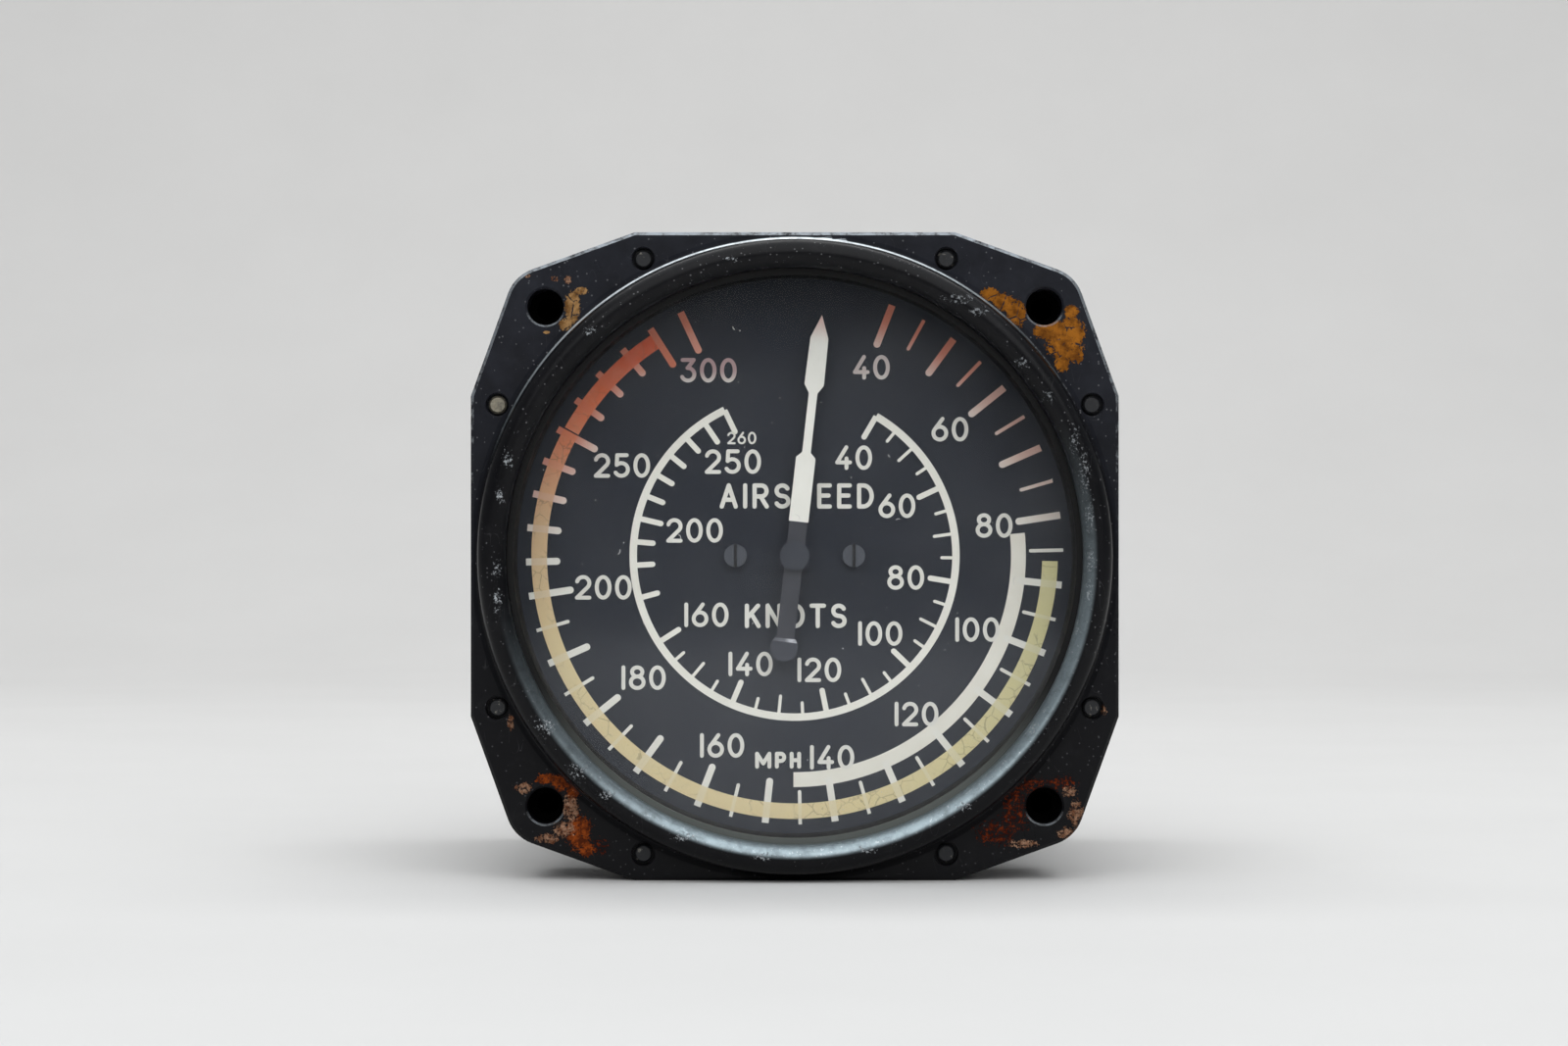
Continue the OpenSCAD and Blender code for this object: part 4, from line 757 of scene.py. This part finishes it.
SIGNS = {
    "0": (0.62, [loop(0.31, 0.5, 0.31, 0.5)]),
    "1": (0.0, [[(0, 0), (0, 1)]]),
    "2": (0.6, [arc(0.3, 0.71, 0.3, 0.29, 165, -38) + [(0, 0)], [(0, 0), (0.6, 0)]]),
    "3": (0.6, [[(0.03, 1), (0.57, 1)], [(0.57, 1), (0.27, 0.61)], arc(0.29, 0.305, 0.31, 0.305, 95, -155)]),
    "4": (0.62, [[(0.44, 1), (0, 0.27)], [(0, 0.27), (0.62, 0.27)], [(0.45, 0.46), (0.45, 0)]]),
    "5": (0.6, [[(0.08, 1), (0.54, 1)], [(0.08, 1), (0.055, 0.53)], arc(0.28, 0.31, 0.32, 0.31, 135, -150)]),
    "6": (0.62, [loop(0.31, 0.31, 0.31, 0.31), [(0.44, 1), (0.045, 0.47)]]),
    "8": (0.62, [loop(0.31, 0.28, 0.31, 0.28), loop(0.31, 0.78, 0.25, 0.22)]),
    "A": (0.66, [[(0, 0), (0.33, 1)], [(0.33, 1), (0.66, 0)], [(0.11, 0.32), (0.55, 0.32)]]),
    "I": (0.0, [[(0, 0), (0, 1)]]),
    "R": (0.58, [[(0, 0), (0, 1)], [(0, 1), (0.32, 1)] + arc(0.32, 0.74, 0.25, 0.26, 80, -90) + [(0, 0.48)],
                 [(0.28, 0.48), (0.58, 0)]]),
    "S": (0.58, [arc(0.29, 0.75, 0.27, 0.25, 25, 270) + arc(0.29, 0.25, 0.29, 0.25, 80, -155)]),
    "P": (0.57, [[(0, 0), (0, 1)], [(0, 1), (0.3, 1)] + arc(0.3, 0.72, 0.27, 0.28, 80, -90) + [(0, 0.44)]]),
    "E": (0.5, [[(0, 0), (0, 1)], [(0, 1), (0.5, 1)], [(0, 0.52), (0.44, 0.52)], [(0, 0), (0.5, 0)]]),
    "D": (0.6, [[(0, 0), (0, 1)], [(0, 1), (0.2, 1)] + arc(0.2, 0.5, 0.4, 0.5, 80, -90) + [(0, 0)]]),
    "K": (0.58, [[(0, 0), (0, 1)], [(0.55, 1), (0, 0.38)], [(0.21, 0.62), (0.58, 0)]]),
    "N": (0.58, [[(0, 0), (0, 1)], [(0, 1), (0.58, 0)], [(0.58, 0), (0.58, 1)]]),
    "O": (0.7, [loop(0.35, 0.5, 0.35, 0.5)]),
    "T": (0.6, [[(0, 1), (0.6, 1)], [(0.3, 1), (0.3, 0)]]),
    "M": (0.96, [[(0, 0), (0, 1)], [(0, 1), (0.48, 0.25)], [(0.48, 0.25), (0.96, 1)],
                 [(0.96, 1), (0.96, 0)]]),
    "H": (0.58, [[(0, 0), (0, 1)], [(0.58, 0), (0.58, 1)], [(0, 0.5), (0.58, 0.5)]]),
}
CAP_STEPS = 5
CLOSED_GAP = 1e-6
# Strokes that cross lie in layers, this far apart in millimetres, so that no two faces share a plane
LAYER_STEP = 0.004
LAYERS = 7


def cross_sections(points, half):
    """Places along a stroke, each with the sideways step to its edge, narrowing to round ends.

    Also says whether the stroke is closed."""
    closed = math.dist(points[0], points[-1]) < CLOSED_GAP
    points = [Vector(p) for p in (points[:-1] if closed else points)]
    count = len(points)
    sections = []
    for i, point in enumerate(points):
        before = points[i - 1] if closed or i > 0 else None
        after = points[(i + 1) % count] if closed or i < count - 1 else None
        steps = [(point - before).normalized()] if before is not None else []
        steps += [(after - point).normalized()] if after is not None else []
        along = sum(steps, Vector((0, 0))).normalized()
        sections.append((point, Vector((-along.y, along.x)) * half))
    if closed:
        return sections, True
    ends = []
    for point, side, sign in ((*sections[0], -1), (*sections[-1], 1)):
        forward = Vector((side.y, -side.x)) * sign
        turns = [math.pi / 2 * k / (CAP_STEPS + 0.5) for k in range(1, CAP_STEPS + 1)]
        ends.append([(point + forward * math.sin(t), side * math.cos(t)) for t in turns])
    return ends[0][::-1] + sections + ends[1], False


def add_stroke(mesh, points, half, front_y, back_y):
    """One stroke as a closed flat bar in the plane of the dial. Points are (x, z) in millimetres."""
    sections, closed = cross_sections(points, half)
    rings = []
    for point, side in sections:
        left, right = point + side, point - side
        corners = ((left, front_y), (right, front_y), (right, back_y), (left, back_y))
        rings.append([mesh.verts.new((p.x * MM, y, p.y * MM)) for p, y in corners])
    pairs = list(zip(rings, rings[1:])) + ([(rings[-1], rings[0])] if closed else [])
    for first, second in pairs:
        for i in range(4):
            j = (i + 1) % 4
            mesh.faces.new((first[i], first[j], second[j], second[i]))
    if not closed:
        mesh.faces.new(rings[0])
        mesh.faces.new(rings[-1])


def add_word(mesh, word, centre, height, stroke, gap=None, width=None):
    """A word or number round its centre, with a given gap between its signs, or spread to a width."""
    size = height - stroke
    widths = [SIGNS[c][0] * size for c in word]
    if gap is None:
        gap = (width - stroke - sum(widths)) / (len(word) - 1)
    x = centre[0] - (sum(widths) + gap * (len(word) - 1)) / 2
    z = centre[1] - size / 2
    layer = 0
    for sign, sign_w in zip(word, widths):
        for points in SIGNS[sign][1]:
            front_y = PRINT_Y - layer % LAYERS * LAYER_STEP * MM
            add_stroke(mesh, [(x + u * size, z + v * size) for u, v in points], stroke / 2, front_y, DIAL_Y)
            layer += 1
        x += sign_w + gap


def new_piece(name, mesh, material):
    """Makes a mesh a piece of the housing."""
    bmesh.ops.recalc_face_normals(mesh, faces=mesh.faces)
    data = bpy.data.meshes.new(name)
    mesh.to_mesh(data)
    mesh.free()
    data.materials.append(material)
    piece = bpy.data.objects.new(name, data)
    bpy.context.scene.collection.objects.link(piece)
    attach(piece, "housing")


# Numbers and unit words of the dial, each with its centre (x, z) in millimetres

FIGURE_H = 3.15
FIGURE_STROKE = 0.5
FIGURE_GAP = 0.95
OUTER_FIGURES = {
    "40": (9.86, 24.19), "60": (19.95, 16.24), "80": (25.62, 3.88), "100": (23.48, -9.48),
    "120": (15.66, -20.33), "140": (4.82, -25.88), "160": (-9.31, -24.36), "180": (-19.39, -15.66),
    "200": (-24.56, -4.06), "250": (-22.17, 11.58), "300": (-11.07, 23.81),
}
INNER_FIGURES = {
    "40": (7.59, 12.59), "60": (13.14, 6.41), "80": (14.27, -2.80), "100": (11.0, -9.99),
    "120": (3.18, -14.65), "140": (-5.65, -13.9), "160": (-11.32, -7.59), "200": (-12.84, 3.25),
    "250": (-7.92, 12.08),
}
# The small number, with its height, stroke and gap, and the words, with their height, stroke and width
SMALL_FIGURE = ("260", (-6.78, 15.11), 1.6, 0.26, 0.5)
WORDS = [
    ("AIRSPEED", (0.28, 7.67), 3.25, 0.55, 19.8),
    ("KNOTS", (0.15, -7.72), 3.15, 0.55, 13.1),
    ("MPH", (-2.12, -26.25), 2.15, 0.5, 5.9),
]
letter_material = print_paint_and_shade("dial_lettering", LETTER_CREAM, PAINTED_SHADE_LETTERS)


def make_figures(name, figures, extra=None):
    """The numbers of one scale as one piece, with an extra number of its own size."""
    mesh = bmesh.new()
    for number, centre in figures.items():
        add_word(mesh, number, centre, FIGURE_H, FIGURE_STROKE, gap=FIGURE_GAP)
    if extra is not None:
        number, centre, height, stroke, gap = extra
        add_word(mesh, number, centre, height, stroke, gap=gap)
    new_piece(name, mesh, letter_material)


def make_words():
    """The name of the instrument and its units as one piece."""
    mesh = bmesh.new()
    for word, centre, height, stroke, width in WORDS:
        add_word(mesh, word, centre, height, stroke, width=width)
    new_piece("unit_words", mesh, letter_material)


make_figures("outer_figures", OUTER_FIGURES)
make_figures("inner_figures", INNER_FIGURES, SMALL_FIGURE)
make_words()


# Dust and lint on the front of the glass, in millimetres and degrees

DUST_SEED = 7
SPECK_COUNT = 90
SPECK_SIZES = (0.045, 0.12)
SPECK_SIDES = 6
SPECK_UNEVEN = 0.3
SPECK_WAVES = 2.7
SPECK_T = 0.02
LINT_COUNT = 7
LINT_HALF = 0.035
LINT_RADII = (0.3, 0.8)
LINT_BEND_DEG = (40, 110)
LINT_STEPS = 8
CLEAR_EDGE = 4.0


def add_speck(mesh, x, z, size, turn):
    """A low grain on the glass, with uneven corners."""
    corners = []
    for i in range(SPECK_SIDES):
        angle = turn + i * 2 * math.pi / SPECK_SIDES
        reach = size * (1 - SPECK_UNEVEN + SPECK_UNEVEN * math.cos(SPECK_WAVES * angle))
        corners.append((x + reach * math.cos(angle), z + reach * math.sin(angle)))
    front = [mesh.verts.new((u * MM, GLASS_Y - SPECK_T * MM, v * MM)) for u, v in corners]
    back = [mesh.verts.new((u * MM, GLASS_Y, v * MM)) for u, v in corners]
    mesh.faces.new(front)
    mesh.faces.new(back[::-1])
    for i in range(SPECK_SIDES):
        j = (i + 1) % SPECK_SIDES
        mesh.faces.new((front[i], front[j], back[j], back[i]))


def make_dust():
    """Specks and bent threads of lint, scattered over the glass."""
    draw = random.Random(DUST_SEED)
    reach = GLASS_R * PER_MM - CLEAR_EDGE
    mesh = bmesh.new()
    for _ in range(SPECK_COUNT):
        r = reach * math.sqrt(draw.random())
        a = draw.uniform(0, 2 * math.pi)
        size = SPECK_SIZES[0] + (SPECK_SIZES[1] - SPECK_SIZES[0]) * draw.random() ** 3
        add_speck(mesh, r * math.cos(a), r * math.sin(a), size, draw.uniform(0, math.pi))
    for _ in range(LINT_COUNT):
        r = reach * math.sqrt(draw.random())
        a = draw.uniform(0, 2 * math.pi)
        start = draw.uniform(0, 360)
        radius = draw.uniform(*LINT_RADII)
        end = start + draw.uniform(*LINT_BEND_DEG)
        line = arc(r * math.cos(a), r * math.sin(a), radius, radius, start, end, LINT_STEPS)
        add_stroke(mesh, line, LINT_HALF, GLASS_Y - SPECK_T * MM, GLASS_Y)
    new_piece("glass_dust", mesh, dust_material())


make_dust()


# Stage: pale sweep, soft light from above, and the camera in front, in metres

SWEEP_HALF_W = 2.0
SWEEP_FRONT_Y = -6.0
SWEEP_BACK_Y = 0.55
SWEEP_R = 0.5
SWEEP_TOP = 2.0
SWEEP_STEPS = 24
SWEEP_PAPER = ((0.62, 0.615, 0.605), (0.66, 0.655, 0.645))
# Behind the camera the floor darkens from one of these places to the other, in millimetres, so that the
# glass mirrors no edge
SWEEP_FADE = (-480.0, -1900.0)
SWEEP_DARK = (0.035, 0.036, 0.038)
# Room light along each axis of the direction it comes from: where it starts and ends to change, and its
# level at either end
ROOM_LEVELS = {"Z": (-0.1, 0.9, 0.20, 0.45), "Y": (-0.95, -0.3, 0.12, 1.0)}
ROOM_COLOR = (0.93, 0.96, 1.0, 1.0)
# Lamps: name, place, aim, width and height, watts, colour
LAMPS = [
    ("key", (0.07, -0.70, 0.54), (0, 0, 0), (1.2, 0.8), 5.9, (0.98, 0.99, 1.0)),
    ("overhead", (0.0, -0.12, 0.78), (0, 0, 0), (1.1, 0.55), 2.8, (0.95, 0.98, 1.0)),
    ("rear_strip", (0.0, 0.35, 0.75), (0, 0, 0), (0.9, 0.08), 1.2, (0.97, 0.99, 1.0)),
    ("backdrop", (0.0, 0.35, 1.0), (0, 1.0, 0.1), (1.6, 0.4), 6.0, (1.0, 0.99, 0.98)),
]
CAMERA_PLACE = (-0.00136, -0.450, 0.0042)
CAMERA_LENS = 82.0
SENSOR_W = 36.0
CLIP_START = 0.01


def make_sweep():
    """Floor that curves up into a backdrop."""
    bend = [math.radians(90 * i / SWEEP_STEPS) for i in range(SWEEP_STEPS + 1)]
    profile = [(SWEEP_FRONT_Y, FLOOR_Z)]
    profile += [(SWEEP_BACK_Y + SWEEP_R * math.sin(b), FLOOR_Z + SWEEP_R * (1 - math.cos(b))) for b in bend]
    profile.append((SWEEP_BACK_Y + SWEEP_R, SWEEP_TOP))
    verts = [(x, y, z) for y, z in profile for x in (-SWEEP_HALF_W, SWEEP_HALF_W)]
    faces = [(2 * i, 2 * i + 1, 2 * i + 3, 2 * i + 2) for i in range(len(profile) - 1)]
    data = bpy.data.meshes.new("sweep")
    data.from_pydata(verts, [], faces)
    for face in data.polygons:
        face.use_smooth = True
    sweep = bpy.data.objects.new("sweep", data)
    bpy.context.scene.collection.objects.link(sweep)
    s = Shader("sweep_paper")
    _, y, _ = s.axes()
    paper = s.mix(s.noise(0.02, 3.0), *SWEEP_PAPER)
    s.set(base_color=s.mix(s.ramp(y, *SWEEP_FADE), paper, SWEEP_DARK), roughness=0.85)
    data.materials.append(s.material)


def make_room():
    """Soft room light: bright above, dim straight in front, where the flat faces mirror it."""
    world = bpy.data.worlds.new("room")
    world.use_nodes = True
    tree = world.node_tree
    background = tree.nodes["Background"]
    place = tree.nodes.new("ShaderNodeTexCoord")
    split = tree.nodes.new("ShaderNodeSeparateXYZ")
    tree.links.new(place.outputs["Generated"], split.inputs[0])
    product = tree.nodes.new("ShaderNodeMath")
    product.operation = "MULTIPLY"
    for socket, (axis, numbers) in zip(product.inputs, ROOM_LEVELS.items()):
        level = tree.nodes.new("ShaderNodeMapRange")
        tree.links.new(split.outputs[axis], level.inputs["Value"])
        for name, number in zip(("From Min", "From Max", "To Min", "To Max"), numbers):
            level.inputs[name].default_value = number
        tree.links.new(level.outputs["Result"], socket)
    tree.links.new(product.outputs[0], background.inputs["Strength"])
    background.inputs["Color"].default_value = ROOM_COLOR
    bpy.context.scene.world = world


def add_lamp(name, place, aim, size, power, color):
    """A rectangular lamp that faces its aim."""
    data = bpy.data.lights.new(name, "AREA")
    data.shape = "RECTANGLE"
    data.size, data.size_y = size
    data.energy = power
    data.color = color
    lamp = bpy.data.objects.new(name, data)
    lamp.location = place
    lamp.rotation_euler = (Vector(aim) - Vector(place)).to_track_quat("-Z", "Y").to_euler()
    bpy.context.scene.collection.objects.link(lamp)


def make_camera():
    """Level camera in front of the dial."""
    data = bpy.data.cameras.new("camera")
    data.sensor_width = SENSOR_W
    data.lens = CAMERA_LENS
    data.clip_start = CLIP_START
    camera = bpy.data.objects.new("camera", data)
    camera.location = CAMERA_PLACE
    camera.rotation_euler = (math.radians(90), 0, 0)
    bpy.context.scene.collection.objects.link(camera)
    bpy.context.scene.camera = camera


make_sweep()
make_room()
for lamp_row in LAMPS:
    add_lamp(*lamp_row)
make_camera()
bpy.context.scene.view_settings.view_transform = "Standard"
